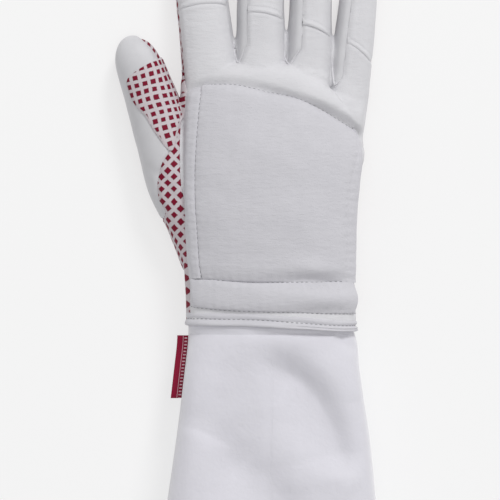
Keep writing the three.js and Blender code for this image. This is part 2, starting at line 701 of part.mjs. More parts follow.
// The cuff's section at a share of its length. Behind 0 it is tucked up inside the hand's wrist.
function cuffSection(along, lift) {
  const inside = -HAND_WALL - TUCK_GAP;
  const wrist = handSection(-HEM_OVERHANG / HAND_LENGTH, inside);
  const wristHeight = wrist.middle + wrist.up - wrist.rest;
  const at = (column) => (along < CUFF_SECTIONS[0].along ? 0 : sample(CUFF_SECTIONS, along, column));
  const mouthHalf = CUFF_MOUTH_WIDTH / 2;
  const height = THREE.MathUtils.lerp(wristHeight, CUFF_MOUTH_HEIGHT, at("height"));
  const rest = along < CUFF_SECTIONS[0].along ? wrist.rest : HAND_HEIGHT * Math.max(at("rest"), 0);
  return {
    radial: THREE.MathUtils.lerp(wrist.radial, mouthHalf, at("radial")) + lift,
    ulnar: THREE.MathUtils.lerp(wrist.ulnar, mouthHalf, at("ulnar")) + lift,
    up: height * 0.52 + lift,
    middle: rest + height * 0.48,
    rest: rest - lift,
    fullness: HAND_FULLNESS,
    toPlan: (x) => ({ x, y: -along * CUFF_LENGTH }),
  };
}

function cuffRing(along, lift, shift = 0) {
  const ring = sectionRing(cuffSection(along, lift), CUFF_SIDES);
  const { middle, up, radial, ulnar } = cuffSection(along, lift);
  return ring.map((point) => {
    const crown = Math.max((point.z - middle) / up, 0);
    const across = point.x / (point.x < 0 ? radial : ulnar);
    point.z -= along > 0 ? crown * foldDepth(across, along) : 0;
    point.y -= shift;
    return point;
  });
}

// The cuff's tucked end follows the inside of the wrist ring by ring.
function tuckRing(place, lift, shift = 0) {
  const section = handSection(place / HAND_LENGTH, -HAND_WALL - TUCK_GAP + lift);
  return sectionRing(section, CUFF_SIDES).map((point) => point.setY(place + shift));
}

const CUFF_PLACES = [0.05, 0.085, 0.12, 0.18, 0.24, 0.3, 0.36, 0.43, 0.5, 0.57, 0.64, 0.71, 0.78];

function cuff() {
  const tucked = [CUFF_TUCK, CUFF_TUCK / 2, -HEM_OVERHANG];
  const hem = 1 - CUFF_HEM_WIDTH / CUFF_LENGTH;
  const outside = loft([
    ...tucked.map((place) => tuckRing(place, 0)),
    ...[...CUFF_PLACES, hem, 1].map((along) => cuffRing(along, 0)),
  ]);
  const inside = loft([
    tuckRing(CUFF_TUCK, -CUFF_WALL, HAND_LENGTH / 20),
    ...tucked.slice(1).map((place) => tuckRing(place, -CUFF_WALL)),
    ...[...CUFF_PLACES, hem].map((along) => cuffRing(along, -CUFF_WALL)),
    cuffRing(hem, -2 * CUFF_WALL, CUFF_WALL),
    cuffRing(1, -2 * CUFF_WALL, CUFF_HEM_WIDTH),
  ]);
  return solid(outside).subtract(solid(inside));
}

// Folded wrist hem: a band right round the open end of the hand, just proud of it.
function wristHem() {
  const places = [-HEM_OVERHANG, HEM_WIDTH - HEM_OVERHANG].map((y) => y / HAND_LENGTH);
  const band = (lift, reach) =>
    solid(
      loft(
        places.map((at, i) => {
          const ring = sectionRing(handSection(at, lift), HAND_SIDES);
          return ring.map((point) => point.setY(point.y + (i ? reach : -reach)));
        }),
      ),
    );
  return band(SEAM_GAP + HEM_THICKNESS, 0).subtract(band(SEAM_GAP, HEM_WIDTH));
}

// Small folded ribbon sewn into the cuff's side seam on the thumb side, sticking straight out.
function sideLabel(cuffForm) {
  const places = [LABEL_START, LABEL_START + LABEL_LENGTH].map((y) => y / CUFF_LENGTH);
  const [near, far] = places.map((along) => {
    const { radial, middle } = cuffSection(along, 0);
    return { x: -radial, y: -along * CUFF_LENGTH, z: middle };
  });
  const corner = ({ x, y, z }, out) => ({
    x: x - out,
    y,
    low: z - LABEL_THICKNESS / 2,
    high: z + LABEL_THICKNESS / 2,
  });
  const [inner, outer] = [-LABEL_REACH, LABEL_REACH];
  const strip = prism([corner(near, inner), corner(near, outer), corner(far, outer), corner(far, inner)]);
  return strip.subtract(cuffForm);
}

// The cuff's outside raised by the seam gap and filled, for cutting what lies on it.
function cuffForm() {
  const tucked = [CUFF_TUCK, -HEM_OVERHANG].map((place) => tuckRing(place, SEAM_GAP));
  return solid(loft([...tucked, ...CUFF_PLACES.map((at) => cuffRing(at, SEAM_GAP))]));
}

const glove = new THREE.Group();
glove.name = "fencing_glove";

// Cutting leaves specks where two walls cross, so a panel is the largest body of what is left, and faces
// that are flat to within SMOOTHING are merged.
function addPiece(name, made, material) {
  const [panel] = made.decompose().sort((a, b) => b.volume() - a.volume());
  const mesh = new THREE.Mesh(geometryOf(panel.asOriginal().simplify(SMOOTHING)), material);
  mesh.name = name;
  glove.add(mesh);
}

const covers = joined(FINGERS.map((_, i) => coverZone(i, SEAM_GAP)));
addPiece("hand_back", back.subtract(covers), suede);
FINGERS.forEach(({ name }, i) => addPiece(`finger_cover_${name}`, back.intersect(coverZone(i, 0)), suede));
welts.forEach(({ name, made }) => addPiece(name, made, suede));
strips.forEach(({ name, zone }) => addPiece(name, shell.intersect(zone), leather));

const thumbPanel = shell.intersect(thumbPanelZone());
addPiece("thumb_panel", thumbPanel, leather);

const grownFingerZones = FINGERS.map((_, i) => fingerBackZone(i, ZONE_START, 0, SEAM_GAP));
const grownBackZone = joined([handBackZone(SEAM_GAP), ...grownFingerZones]);
const palm = shell.subtract(grownBackZone).subtract(allStrips).subtract(thumbPanelZone(SEAM_GAP));
addPiece("grip_palm", palm, grip);

const patchSkin = solid(thumbTube(SEAM_GAP + PATCH_THICKNESS));
const patchZone = prism(thumbOutline(PATCH_EDGE, 0.4 * THUMB_HEIGHT, 3 * THUMB_HEIGHT));
const patchStop = solid(handBody(PAD_THICKNESS));
addPiece("thumb_patch", patchSkin.intersect(patchZone).subtract(coveredForm).subtract(patchStop), grip);

PADS.forEach((row) => addPiece(row.name, pad(row), suede));
addPiece("wrist_hem", wristHem(), suede);
addPiece("cuff", cuff(), cloth);
addPiece("side_label", sideLabel(cuffForm()), ribbon);

// The origin is the middle of the glove's outer box, on the surface that the palm lies on.
const box = new THREE.Box3().setFromObject(glove);
const middle = box.getCenter(new THREE.Vector3());
glove.position.set(-middle.x, -middle.y, -box.min.z);

export default glove;
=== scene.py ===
import bpy
import numpy as np
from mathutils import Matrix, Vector
from mathutils.bvhtree import BVHTree


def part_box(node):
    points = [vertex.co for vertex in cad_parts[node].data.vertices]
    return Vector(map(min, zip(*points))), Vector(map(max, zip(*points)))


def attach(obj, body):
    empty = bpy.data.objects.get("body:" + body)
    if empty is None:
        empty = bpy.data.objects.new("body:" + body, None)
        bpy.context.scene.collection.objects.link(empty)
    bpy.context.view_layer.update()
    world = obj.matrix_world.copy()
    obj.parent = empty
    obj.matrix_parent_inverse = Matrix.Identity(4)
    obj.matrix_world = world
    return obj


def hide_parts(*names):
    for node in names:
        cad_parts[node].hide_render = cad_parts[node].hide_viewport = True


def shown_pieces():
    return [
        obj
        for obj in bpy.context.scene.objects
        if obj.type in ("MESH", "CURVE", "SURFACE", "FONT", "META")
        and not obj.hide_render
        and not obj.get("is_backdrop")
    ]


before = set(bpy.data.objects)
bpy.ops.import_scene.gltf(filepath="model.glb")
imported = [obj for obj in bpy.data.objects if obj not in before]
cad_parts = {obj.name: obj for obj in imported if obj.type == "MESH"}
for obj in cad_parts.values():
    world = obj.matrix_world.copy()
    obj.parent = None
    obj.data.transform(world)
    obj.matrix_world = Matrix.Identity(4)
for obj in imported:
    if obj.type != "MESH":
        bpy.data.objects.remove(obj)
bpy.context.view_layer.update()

# The view
# The glove lies palm down and is seen from straight above through a long lens. The photograph's scale holds
# at the height of the knuckles, and its frame cuts off the fingertips and the end of the cuff.
MM = 0.001
FRAME_PIXELS = 500
PIXELS_PER_MM = 1.85
HEM_PIXEL = (270, 330)
KNUCKLE_HEIGHT = 25
CAMERA_DISTANCE = 1500
SENSOR_WIDTH = 36

# Every length below is in millimetres from the middle of the wrist hem, at the level of the floor.
HEM_OVERHANG = 0.6
cuff_low, cuff_high = (np.array(corner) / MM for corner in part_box("cuff"))
HEM_MIDDLE = np.array([(cuff_low[0] + cuff_high[0]) / 2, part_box("wrist_hem")[0][1] / MM + HEM_OVERHANG, 0])


def placed(points):
    """Millimetres from the middle of the wrist hem become metres in the frame."""
    return (np.asarray(points) + HEM_MIDDLE) * MM


view_middle = [
    (FRAME_PIXELS / 2 - HEM_PIXEL[0]) / PIXELS_PER_MM,
    (HEM_PIXEL[1] - FRAME_PIXELS / 2) / PIXELS_PER_MM,
    KNUCKLE_HEIGHT + CAMERA_DISTANCE,
]
camera = bpy.data.objects.new("camera", bpy.data.cameras.new("camera"))
camera.location = placed(view_middle)
camera.data.sensor_width = SENSOR_WIDTH
camera.data.lens = SENSOR_WIDTH * CAMERA_DISTANCE * PIXELS_PER_MM / FRAME_PIXELS
camera.data.clip_end = 20
bpy.context.scene.collection.objects.link(camera)
bpy.context.scene.camera = camera

# Studio
# A pale seamless floor under one broad soft light from the right, with the room's light filling the rest.
bpy.context.scene.view_settings.view_transform = "Standard"
bpy.context.scene.view_settings.look = "None"
ROOM_LIGHT = 0.48
world = bpy.data.worlds.new("studio")
world.use_nodes = True
world.node_tree.nodes["Background"].inputs["Color"].default_value = (1, 1, 1, 1)
world.node_tree.nodes["Background"].inputs["Strength"].default_value = ROOM_LIGHT
bpy.context.scene.world = world


def soft_light(name, position, size, power):
    """A square area light that faces the middle of the floor, from a position in metres."""
    lamp = bpy.data.objects.new(name, bpy.data.lights.new(name, "AREA"))
    lamp.data.size = size
    lamp.data.energy = power
    lamp.location = position
    lamp.rotation_euler = (-Vector(position)).to_track_quat("-Z", "Y").to_euler()
    bpy.context.scene.collection.objects.link(lamp)


KEY_POWER, TOP_POWER = 80, 26
KEY_SIZE, TOP_SIZE = 1.1, 2.4
soft_light("key_light", (1.3, 3.2, 2.5), KEY_SIZE, KEY_POWER)
soft_light("top_light", (0.3, 0.2, 3.4), TOP_SIZE, TOP_POWER)


# Shader sums are written as plain expressions on sockets, and every other node comes from one method.
class Finish:
    """A material under construction, whose node method adds any node and returns one of its outputs."""

    def __init__(self, name):
        self.material = bpy.data.materials.new(name)
        self.material.use_nodes = True
        self.nodes = self.material.node_tree.nodes
        self.links = self.material.node_tree.links
        self.surface = self.nodes["Principled BSDF"]

    def node(self, kind, settings=None, output=0, **inputs):
        made = self.nodes.new("ShaderNode" + kind)
        for key, value in (settings or {}).items():
            setattr(made, key, value)
        for key, value in inputs.items():
            socket = int(key[1:]) if key[1:].isdigit() else key.replace("_", " ")
            self.feed(made.inputs[socket], value)
        return Channel(self, made.outputs[output])

    def feed(self, socket, value):
        if isinstance(value, Channel):
            self.links.new(value.socket, socket)
        else:
            socket.default_value = value

    def set(self, **inputs):
        for key, value in inputs.items():
            self.feed(self.surface.inputs[key.replace("_", " ")], value)

    def mix(self, factor, low, high):
        """Colour between low and high."""
        made = self.nodes.new("ShaderNodeMix")
        made.data_type = "RGBA"
        for socket, value in ((made.inputs[0], factor), (made.inputs[6], low), (made.inputs[7], high)):
            self.feed(socket, (*value, 1) if isinstance(value, tuple) else value)
        return Channel(self, made.outputs[2])

    def places(self):
        """The pattern coordinates that a piece carries, in millimetres."""
        return self.node("Attribute", {"attribute_name": "places"}, 1)

    def place(self):
        """Object coordinates in millimetres."""
        spot = self.node("TexCoord", None, 3)
        return self.node("VectorMath", {"operation": "SCALE"}, 0, _0=spot, Scale=1 / MM)

    def stretched(self, vector, by):
        """A vector, each of its numbers times its own share."""
        return self.node("VectorMath", {"operation": "MULTIPLY"}, 0, _0=vector, _1=by)

    def parts(self, vector):
        """The three numbers of a vector."""
        made = self.nodes.new("ShaderNodeSeparateXYZ")
        self.links.new(vector.socket, made.inputs[0])
        return [Channel(self, socket) for socket in made.outputs]

    def noise(self, at, scale, detail=3.0, roughness=0.55):
        return self.node("TexNoise", None, 0, Vector=at, Scale=scale, Detail=detail, Roughness=roughness)

    def relief(self, height, depth, under=None):
        """Bump of a height of 0 to 1 over depth millimetres, on top of another bump."""
        inputs = {"Height": height, "Distance": depth * MM}
        if under is not None:
            inputs["Normal"] = under
        return self.node("Bump", None, 0, **inputs)


class Channel:
    """A number socket with the operators that the finishes use."""

    def __init__(self, finish, socket):
        self.finish = finish
        self.socket = socket

    def maths(self, operation, a, b=0.0, clamp=False):
        return self.finish.node("Math", {"operation": operation, "use_clamp": clamp}, 0, _0=a, _1=b)

    def __add__(self, other):
        return self.maths("ADD", self, other)

    __radd__ = __add__

    def __sub__(self, other):
        return self.maths("SUBTRACT", self, other)

    def __rsub__(self, other):
        return self.maths("SUBTRACT", other, self)

    def __mul__(self, other):
        return self.maths("MULTIPLY", self, other)

    __rmul__ = __mul__

    def floor(self):
        return self.maths("FLOOR", self)

    def absolute(self):
        return self.maths("ABSOLUTE", self)

    def sine(self):
        return self.maths("SINE", self)

    def larger(self, other):
        return self.maths("MAXIMUM", self, other)

    def ramp(self, start, end):
        """0 at start and 1 at end, clamped."""
        return self.maths("MULTIPLY", self - start, 1 / (end - start), clamp=True)


FLOOR_COLOUR = (0.3, 0.3, 0.3)
FLOOR_GLOW = 0.62
FLOOR_SIZE = 12.0
FLOOR_DROP = 0.0004


def darker(colour, share):
    """A colour with only a share of its light."""
    return tuple(value * share for value in colour)


def floor_finish():
    """Lit paper: most of its light comes through from behind, so that shadows on it stay faint."""
    finish = Finish("floor_paper")
    mottle = finish.noise(finish.place(), 0.01)
    finish.set(Base_Color=finish.mix(mottle, FLOOR_COLOUR, darker(FLOOR_COLOUR, 0.995)), Roughness=0.9)
    finish.set(Emission_Color=(1, 1, 1, 1), Emission_Strength=FLOOR_GLOW)
    return finish.material


floor_mesh = bpy.data.meshes.new("floor")
half = FLOOR_SIZE / 2
floor_corners = [(-half, -half, 0), (half, -half, 0), (half, half, 0), (-half, half, 0)]
floor_mesh.from_pydata(floor_corners, [], [(0, 1, 2, 3)])
floor = bpy.data.objects.new("floor", floor_mesh)
floor.location.z = -FLOOR_DROP
floor_mesh.materials.append(floor_finish())
bpy.context.scene.collection.objects.link(floor)
floor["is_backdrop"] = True

# The sewn hand
# Suede, knit and smooth leather panels are sewn inside out and turned, so they make one full round skin.
# The skin is worked out first as one closed surface, and each panel is then cut from it along its seams.
HAND_LENGTH = 145
HAND_WIDTH = 98
HAND_HEIGHT = 36
HAND_FULLNESS = 2.3
FINGER_FULLNESS = 2.45
THUMB_FULLNESS = 2.15
HAND_NOSE = 0.935
HAND_MIDDLE = 0.48
TUBE_MIDDLE = 0.46
HAND_THINNEST, TUBE_THINNEST = 0.2, 0.3
# Columns: along, radial, ulnar, height, rest, as shares of the hand's length, width and height.
HAND_SECTIONS = np.array([
    (-0.03, 0.458, 0.466, 1.08, 0.11),
    (0.06, 0.46, 0.474, 1.07, 0.08),
    (0.16, 0.464, 0.462, 1.06, 0.02),
    (0.28, 0.478, 0.458, 1.06, 0),
    (0.42, 0.488, 0.463, 1.06, 0),
    (0.56, 0.495, 0.474, 1.03, 0),
    (0.7, 0.496, 0.5, 0.97, 0),
    (0.82, 0.492, 0.525, 0.88, 0),
    (0.92, 0.485, 0.51, 0.79, 0),
    (1, 0.475, 0.512, 0.74, 0),
])
WEB_BEND = 0.15
WEB_DROP = 0.55
WEB_BEND_WIDTH = 0.07

FINGER_LENGTH = 83
FINGER_HEIGHT = 25
FINGER_NOSE = 0.84
FINGER_REST = 0.2
FINGER_NAMES = ("index", "middle", "ring", "little")
# Columns: root and tip across, web along, length, width, height, crease, slant and strip.
ROOT, TIP, WEB, LENGTH, WIDTH, HEIGHT, CREASE, SLANT, STRIP = range(9)
FINGERS = np.array([
    (-0.339, -0.423, 1, 0.89, 0.304, 1, 0.445, 0, -0.92),
    (-0.05, -0.052, 1, 1, 0.27, 1.02, 0.335, 0.12, -0.6),
    (0.22, 0.236, 0.995, 0.9, 0.246, 0.97, 0.285, 0.3, -0.4),
    (0.437, 0.515, 0.89, 0.84, 0.228, 0.88, 0.37, 0.5, -0.4),
])
# Columns: along, width, height, as shares of the finger's own.
FINGER_SHAPE = np.array([
    (-0.38, 0.9, 0.98),
    (-0.15, 0.97, 1),
    (0, 1, 0.99),
    (0.3, 0.965, 0.95),
    (0.6, 0.93, 0.88),
    (0.82, 0.89, 0.8),
    (1, 0.84, 0.72),
])

THUMB_LENGTH = 132
THUMB_WIDTH = 30
THUMB_HEIGHT = 26
THUMB_LEAN = np.radians(15.5)
THUMB_ROOT = np.array([-0.388 * HAND_WIDTH, 0.235 * HAND_LENGTH])
THUMB_NOSE = 0.865
THUMB_REST = 0.4
# Columns: along, bow, width, height, as shares of the thumb's own.
THUMB_SHAPE = np.array([
    (0, 0.02, 0.64, 0.8),
    (0.18, 0.045, 0.9, 0.94),
    (0.35, -0.005, 1.08, 1),
    (0.54, -0.02, 1.02, 1),
    (0.7, -0.04, 0.93, 0.96),
    (0.82, -0.075, 0.86, 0.9),
    (1, -0.13, 0.8, 0.8),
])


def smooth_curve(table, column, at):
    """Cubic through a table's rows, with each row's slope that of the line between its neighbours."""
    knots, values = table[:, 0], table[:, column]
    at = np.clip(at, knots[0], knots[-1])
    row = np.clip(np.searchsorted(knots, at, side="right") - 1, 0, len(knots) - 2)
    chords = np.diff(values) / np.diff(knots)
    inner = (values[2:] - values[:-2]) / (knots[2:] - knots[:-2])
    slopes = np.concatenate([chords[:1], inner, chords[-1:]])
    span = knots[row + 1] - knots[row]
    t = (at - knots[row]) / span
    u = 1 - t
    ends = u * u * (1 + 2 * t) * values[row] + t * t * (3 - 2 * t) * values[row + 1]
    return ends + span * t * u * (u * slopes[row] - t * slopes[row + 1])


def blend_in(low, high, at):
    """0 below low and 1 above high, with a smooth cubic between."""
    t = np.clip((at - low) / (high - low), 0, 1)
    return t * t * (3 - 2 * t)


def signed_power(value, power):
    return np.sign(value) * np.abs(value) ** power


def round_shares(angle, fullness):
    """Across and up on a superellipse, as shares of its half sizes."""
    return signed_power(np.cos(angle), 2 / fullness), signed_power(np.sin(angle), 2 / fullness)


def round_steps(count):
    """Evenly spaced angles, once round."""
    return np.linspace(0, 2 * np.pi, count, endpoint=False)


def unit(vectors):
    return vectors / np.linalg.norm(vectors, axis=-1, keepdims=True)


def round_end(at, start):
    """1 up to start, then a quarter circle down to 0 at 1."""
    return np.sqrt(1 - np.clip((at - start) / (1 - start), 0, 1) ** 2)


def web_line(x):
    """How far up the fingers part: level on the thumb side, and sloping back past the ring finger."""
    past = x / HAND_WIDTH - WEB_BEND
    eased = (past + np.sqrt(past * past + WEB_BEND_WIDTH**2)) / 2
    return HAND_LENGTH * (1 - WEB_DROP * (eased - WEB_BEND_WIDTH / 8))


def hand_rise(along):
    """Full height of the hand's section and its clearance underneath, in millimetres."""
    height = HAND_HEIGHT * smooth_curve(HAND_SECTIONS, 3, along)
    return height, HAND_HEIGHT * np.maximum(smooth_curve(HAND_SECTIONS, 4, along), 0)


def hand_skin(along, angle, lift=0.0):
    """Superellipse sections along the hand, raised by lift; angle 0 is the little finger's side."""
    height, rest = hand_rise(along)
    across, rise = round_shares(angle, HAND_FULLNESS)
    radial, ulnar = (smooth_curve(HAND_SECTIONS, column, along) for column in (1, 2))
    half_width = np.where(across < 0, radial, ulnar)
    x = across * (half_width * HAND_WIDTH + lift)
    y = along * web_line(x) + np.where(along > HAND_NOSE, lift, 0)
    up = np.maximum(height * (1 - HAND_MIDDLE) * round_end(along, HAND_NOSE) + lift, HAND_THINNEST)
    z = np.maximum(rest + height * HAND_MIDDLE + rise * up, rest - lift)
    return np.stack(np.broadcast_arrays(x, y, z), -1)


def tube_skin(fullness, centre, side, half_width, height, rest, ending, angle, lift=0.0):
    """A round tube section: centre and side are plan vectors, and ending shrinks it towards the tip."""
    across, rise = round_shares(angle, fullness)
    out = np.maximum(half_width * ending + lift, TUBE_THINNEST)
    up = np.maximum(height * (1 - TUBE_MIDDLE) * ending + lift, TUBE_THINNEST)
    z = np.maximum(height * TUBE_MIDDLE + rise * up, rest - lift)
    return np.concatenate([centre + side * (across * out)[..., None], z[..., None]], -1)


def finger_frame(finger):
    """Root point, forward and sideways plan vectors and length of a finger."""
    root, tip, web, length = FINGERS[finger, :4]
    reach = length * FINGER_LENGTH
    forward = unit(np.array([(tip - root) * HAND_WIDTH / reach, 1.0]))
    start = np.array([root * HAND_WIDTH, web * HAND_LENGTH])
    return start, forward, np.array([forward[1], -forward[0]]), reach


def finger_size(finger, along):
    """Half width and height of a finger at a share of its length."""
    half_width = FINGERS[finger, WIDTH] * HAND_WIDTH * smooth_curve(FINGER_SHAPE, 1, along) / 2
    return half_width, FINGERS[finger, HEIGHT] * FINGER_HEIGHT * smooth_curve(FINGER_SHAPE, 2, along)


def finger_skin(finger, along, angle, lift=0.0):
    """Sections of one finger's tube at shares of its length, raised by lift."""
    along, angle = np.broadcast_arrays(along, angle)
    root, forward, side, reach = finger_frame(finger)
    half_width, height = finger_size(finger, along)
    centre = root + forward * (along * (reach + lift))[..., None]
    ending = round_end(along, FINGER_NOSE)
    return tube_skin(FINGER_FULLNESS, centre, side, half_width, height, FINGER_REST, ending, angle, lift)


THUMB_FORWARD = np.array([-np.sin(THUMB_LEAN), np.cos(THUMB_LEAN)])
THUMB_SIDE = np.array([np.cos(THUMB_LEAN), np.sin(THUMB_LEAN)])


def thumb_size(along):
    """Sideways bow, half width and height of the thumb at a share of its length."""
    bow = THUMB_WIDTH * smooth_curve(THUMB_SHAPE, 1, along)
    half_width = THUMB_WIDTH * smooth_curve(THUMB_SHAPE, 2, along) / 2
    return bow, half_width, THUMB_HEIGHT * smooth_curve(THUMB_SHAPE, 3, along)


def thumb_skin(along, angle):
    """Sections of the thumb's tube at shares of its length."""
    along, angle = np.broadcast_arrays(along, angle)
    bow, half_width, height = thumb_size(along)
    centre = THUMB_ROOT + THUMB_FORWARD * (along * THUMB_LENGTH)[..., None]
    centre = centre + THUMB_SIDE * bow[..., None]
    ending = round_end(along, THUMB_NOSE)
    return tube_skin(THUMB_FULLNESS, centre, THUMB_SIDE, half_width, height, THUMB_REST, ending, angle)


def grid_faces(rows, columns, wrap=False, ring=False):
    """Quads over a grid of points; wrap joins the last column to the first, and ring the last row."""
    row = np.arange(rows if ring else rows - 1)[:, None]
    column = np.arange(columns if wrap else columns - 1)
    here, above = row * columns, (row + 1) % rows * columns
    beside = (column + 1) % columns
    corners = (here + column, here + beside, above + beside, above + column)
    return np.stack([corner.ravel() for corner in corners], -1)


def closed_tube(points):
    """A grid of rings closed round, with a flat fan over each end."""
    rows, columns = points.shape[:2]
    ends = np.stack([points[0].mean(0), points[-1].mean(0)])
    around = np.arange(columns)
    following = (around + 1) % columns
    last = (rows - 1) * columns
    first_fan = np.stack([following, around, np.full(columns, rows * columns)], -1)
    last_fan = np.stack([last + around, last + following, np.full(columns, rows * columns + 1)], -1)
    faces = [*grid_faces(rows, columns, wrap=True), *first_fan, *last_fan]
    return np.concatenate([points.reshape(-1, 3), ends]), faces


def new_piece(name, points, faces):
    """A shown mesh object at the origin, from millimetres."""
    mesh = bpy.data.meshes.new(name)
    corners = placed(points).reshape(-1, 3).tolist()
    mesh.from_pydata(corners, [], [tuple(int(v) for v in face) for face in faces])
    mesh.validate()
    piece = bpy.data.objects.new(name, mesh)
    bpy.context.scene.collection.objects.link(piece)
    mesh.shade_smooth()
    return piece


def remeshed(points, faces, voxel):
    """The outer surface of overlapping closed shells, as triangles, from a voxel grid."""
    lump = new_piece("lump", points, faces)
    modifier = lump.modifiers.new("union", "REMESH")
    modifier.mode = "VOXEL"
    modifier.voxel_size = voxel * MM
    baked = lump.evaluated_get(bpy.context.evaluated_depsgraph_get()).to_mesh()
    baked.calc_loop_triangles()
    points = np.empty(len(baked.vertices) * 3)
    baked.vertices.foreach_get("co", points)
    triangles = np.empty(len(baked.loop_triangles) * 3, dtype=np.int32)
    baked.loop_triangles.foreach_get("vertices", triangles)
    bpy.data.objects.remove(lump)
    return points.reshape(-1, 3) / MM - HEM_MIDDLE, triangles.reshape(-1, 3)


def on_floor(points):
    """The same points, with none of them under the floor."""
    return np.maximum(points, (-np.inf, -np.inf, 0))


def gathered(numbers, vectors, count):
    """The sum of the vectors that share a number, for each number up to count."""
    return np.stack([np.bincount(numbers, vectors[:, axis], count) for axis in range(3)], -1)


def relaxed(points, triangles, rounds):
    """Each vertex moves half of the way to the mean of its neighbours, several times."""
    sides = np.concatenate([triangles[:, [0, 1]], triangles[:, [1, 2]], triangles[:, [2, 0]]])
    edges = np.unique(np.sort(sides), axis=0)
    ends = np.concatenate([edges, edges[:, ::-1]])
    count = np.bincount(ends[:, 0], minlength=len(points))[:, None]
    for _ in range(rounds):
        total = gathered(ends[:, 0], points[ends[:, 1]], len(points))
        points = points + (total / count - points) / 2
    return points


def vertex_normals(points, triangles):
    """Unit normals, each the sum of its triangles' area vectors."""
    corners = points[triangles]
    area = np.cross(corners[:, 1] - corners[:, 0], corners[:, 2] - corners[:, 0])
    total = gathered(triangles.ravel(), np.repeat(area, 3, axis=0), len(points))
    return total / np.maximum(np.linalg.norm(total, axis=1, keepdims=True), 1e-12)


SKIN_VOXEL = 1.0
SKIN_SIDES = 96
SKIN_ROUNDS = 6
WRIST_SPARE = 8
round_angles = round_steps(SKIN_SIDES)[None, :]
nose_steps = np.sin(np.linspace(0, np.pi / 2 * 0.985, 12))


def stations(start, nose):
    """Shares along a form: even up to its nose, and then closer and closer to its end."""
    return np.concatenate([np.linspace(start, nose, 40)[:-1], nose + (1 - nose) * nose_steps])[:, None]


def sewn_hand():
    """The hand's body, four fingers and thumb as one list of points and faces, still overlapping."""
    forms = [hand_skin(stations(-WRIST_SPARE / HAND_LENGTH, HAND_NOSE), round_angles)]
    forms += [finger_skin(finger, stations(-0.38, FINGER_NOSE), round_angles) for finger in range(4)]
    forms.append(thumb_skin(stations(0.0, THUMB_NOSE), round_angles))
    points, faces = [], []
    for form in forms:
        start = sum(len(part) for part in points)
        tube_points, tube_faces = closed_tube(form)
        points.append(tube_points)
        faces += [face + start for face in tube_faces]
    return np.concatenate(points), faces


skin_points, skin_triangles = remeshed(*sewn_hand(), SKIN_VOXEL)
skin_points = on_floor(relaxed(skin_points, skin_triangles, SKIN_ROUNDS))

# Where the seams run
# Suede, leather and knit panels meet in turned seams, each a valley with a soft roll beside it. Every panel's
# edge is a smooth line on the skin, kept as a distance in millimetres that is positive inside the panel.
# Columns: along and across, as shares of the hand's length and width.
RADIAL_SEAM = np.array([
    (-0.1, -0.437), (0.15, -0.443), (0.355, -0.453), (0.46, -0.468), (0.55, -0.492), (0.67, -0.497),
    (0.78, -0.491), (0.94, -0.48),
])
RADIAL_SEAM_HEIGHT = 0.52
ULNAR_SEAM = 0.42
INDEX_SEAM = -0.94
STRIP_LOW, STRIP_HIGH = 0.32, 0.64
STRIP_START, STRIP_END = -0.27, 0.93
STRIP_LEAN = 0.86
# Columns: along, across, as shares of the thumb's length and width.
THUMB_PANEL_EDGE = np.array([
    (0.2, -0.95), (0.234, -0.41), (0.315, -0.41), (0.371, -0.357), (0.423, -0.24), (0.457, -0.127),
    (0.484, 0.013), (0.547, 0.16), (0.645, 0.3), (0.762, 0.36), (0.879, 0.285), (0.933, 0.2), (0.972, 0.1),
    (1.04, 0.02),
])
THUMB_PANEL_LOW = 0.3
KNUCKLE_ARCH = 2.1


class Spot:
    """Where points lie on the hand: along and across it, each finger and the thumb, in their own terms."""

    def __init__(self, points):
        self.x, self.y, self.z = points.T
        self.along = self.y / web_line(self.x)
        self.height, self.rest = hand_rise(self.along)
        plan = points[:, :2]
        self.finger_along, self.finger_across, self.finger_half, self.finger_height = [], [], [], []
        for finger in range(4):
            root, forward, side, reach = finger_frame(finger)
            along = (plan - root) @ forward / reach
            half_width, height = finger_size(finger, along)
            self.finger_along.append(along)
            self.finger_across.append((plan - root) @ side)
            self.finger_half.append(half_width)
            self.finger_height.append(height)
        self.owner = np.argmin(np.abs(self.finger_across) - np.array(self.finger_half), axis=0)
        self.thumb_along = (plan - THUMB_ROOT) @ THUMB_FORWARD / THUMB_LENGTH
        self.thumb_bow, self.thumb_half, self.thumb_height = thumb_size(self.thumb_along)
        self.thumb_across = (plan - THUMB_ROOT) @ THUMB_SIDE
        self.thumb_turn = np.clip((self.thumb_across - self.thumb_bow) / self.thumb_half, -1, 1)

    def own(self, values):
        """The values of the finger that each point belongs to."""
        return np.take_along_axis(np.array(values), self.owner[None], 0)[0]


def halfway(finger, other, along):
    """Across one finger, the line that lies midway to its neighbour."""
    here, there = finger_size(finger, along)[0], finger_size(other, along)[0]
    root_gap = (FINGERS[other, ROOT] - FINGERS[finger, ROOT]) * HAND_WIDTH
    tip_gap = (FINGERS[other, TIP] - FINGERS[finger, TIP]) * HAND_WIDTH
    apart = np.abs(root_gap + (tip_gap - root_gap) * along)
    return np.sign(root_gap) * (here + (apart - here - there) / 2)


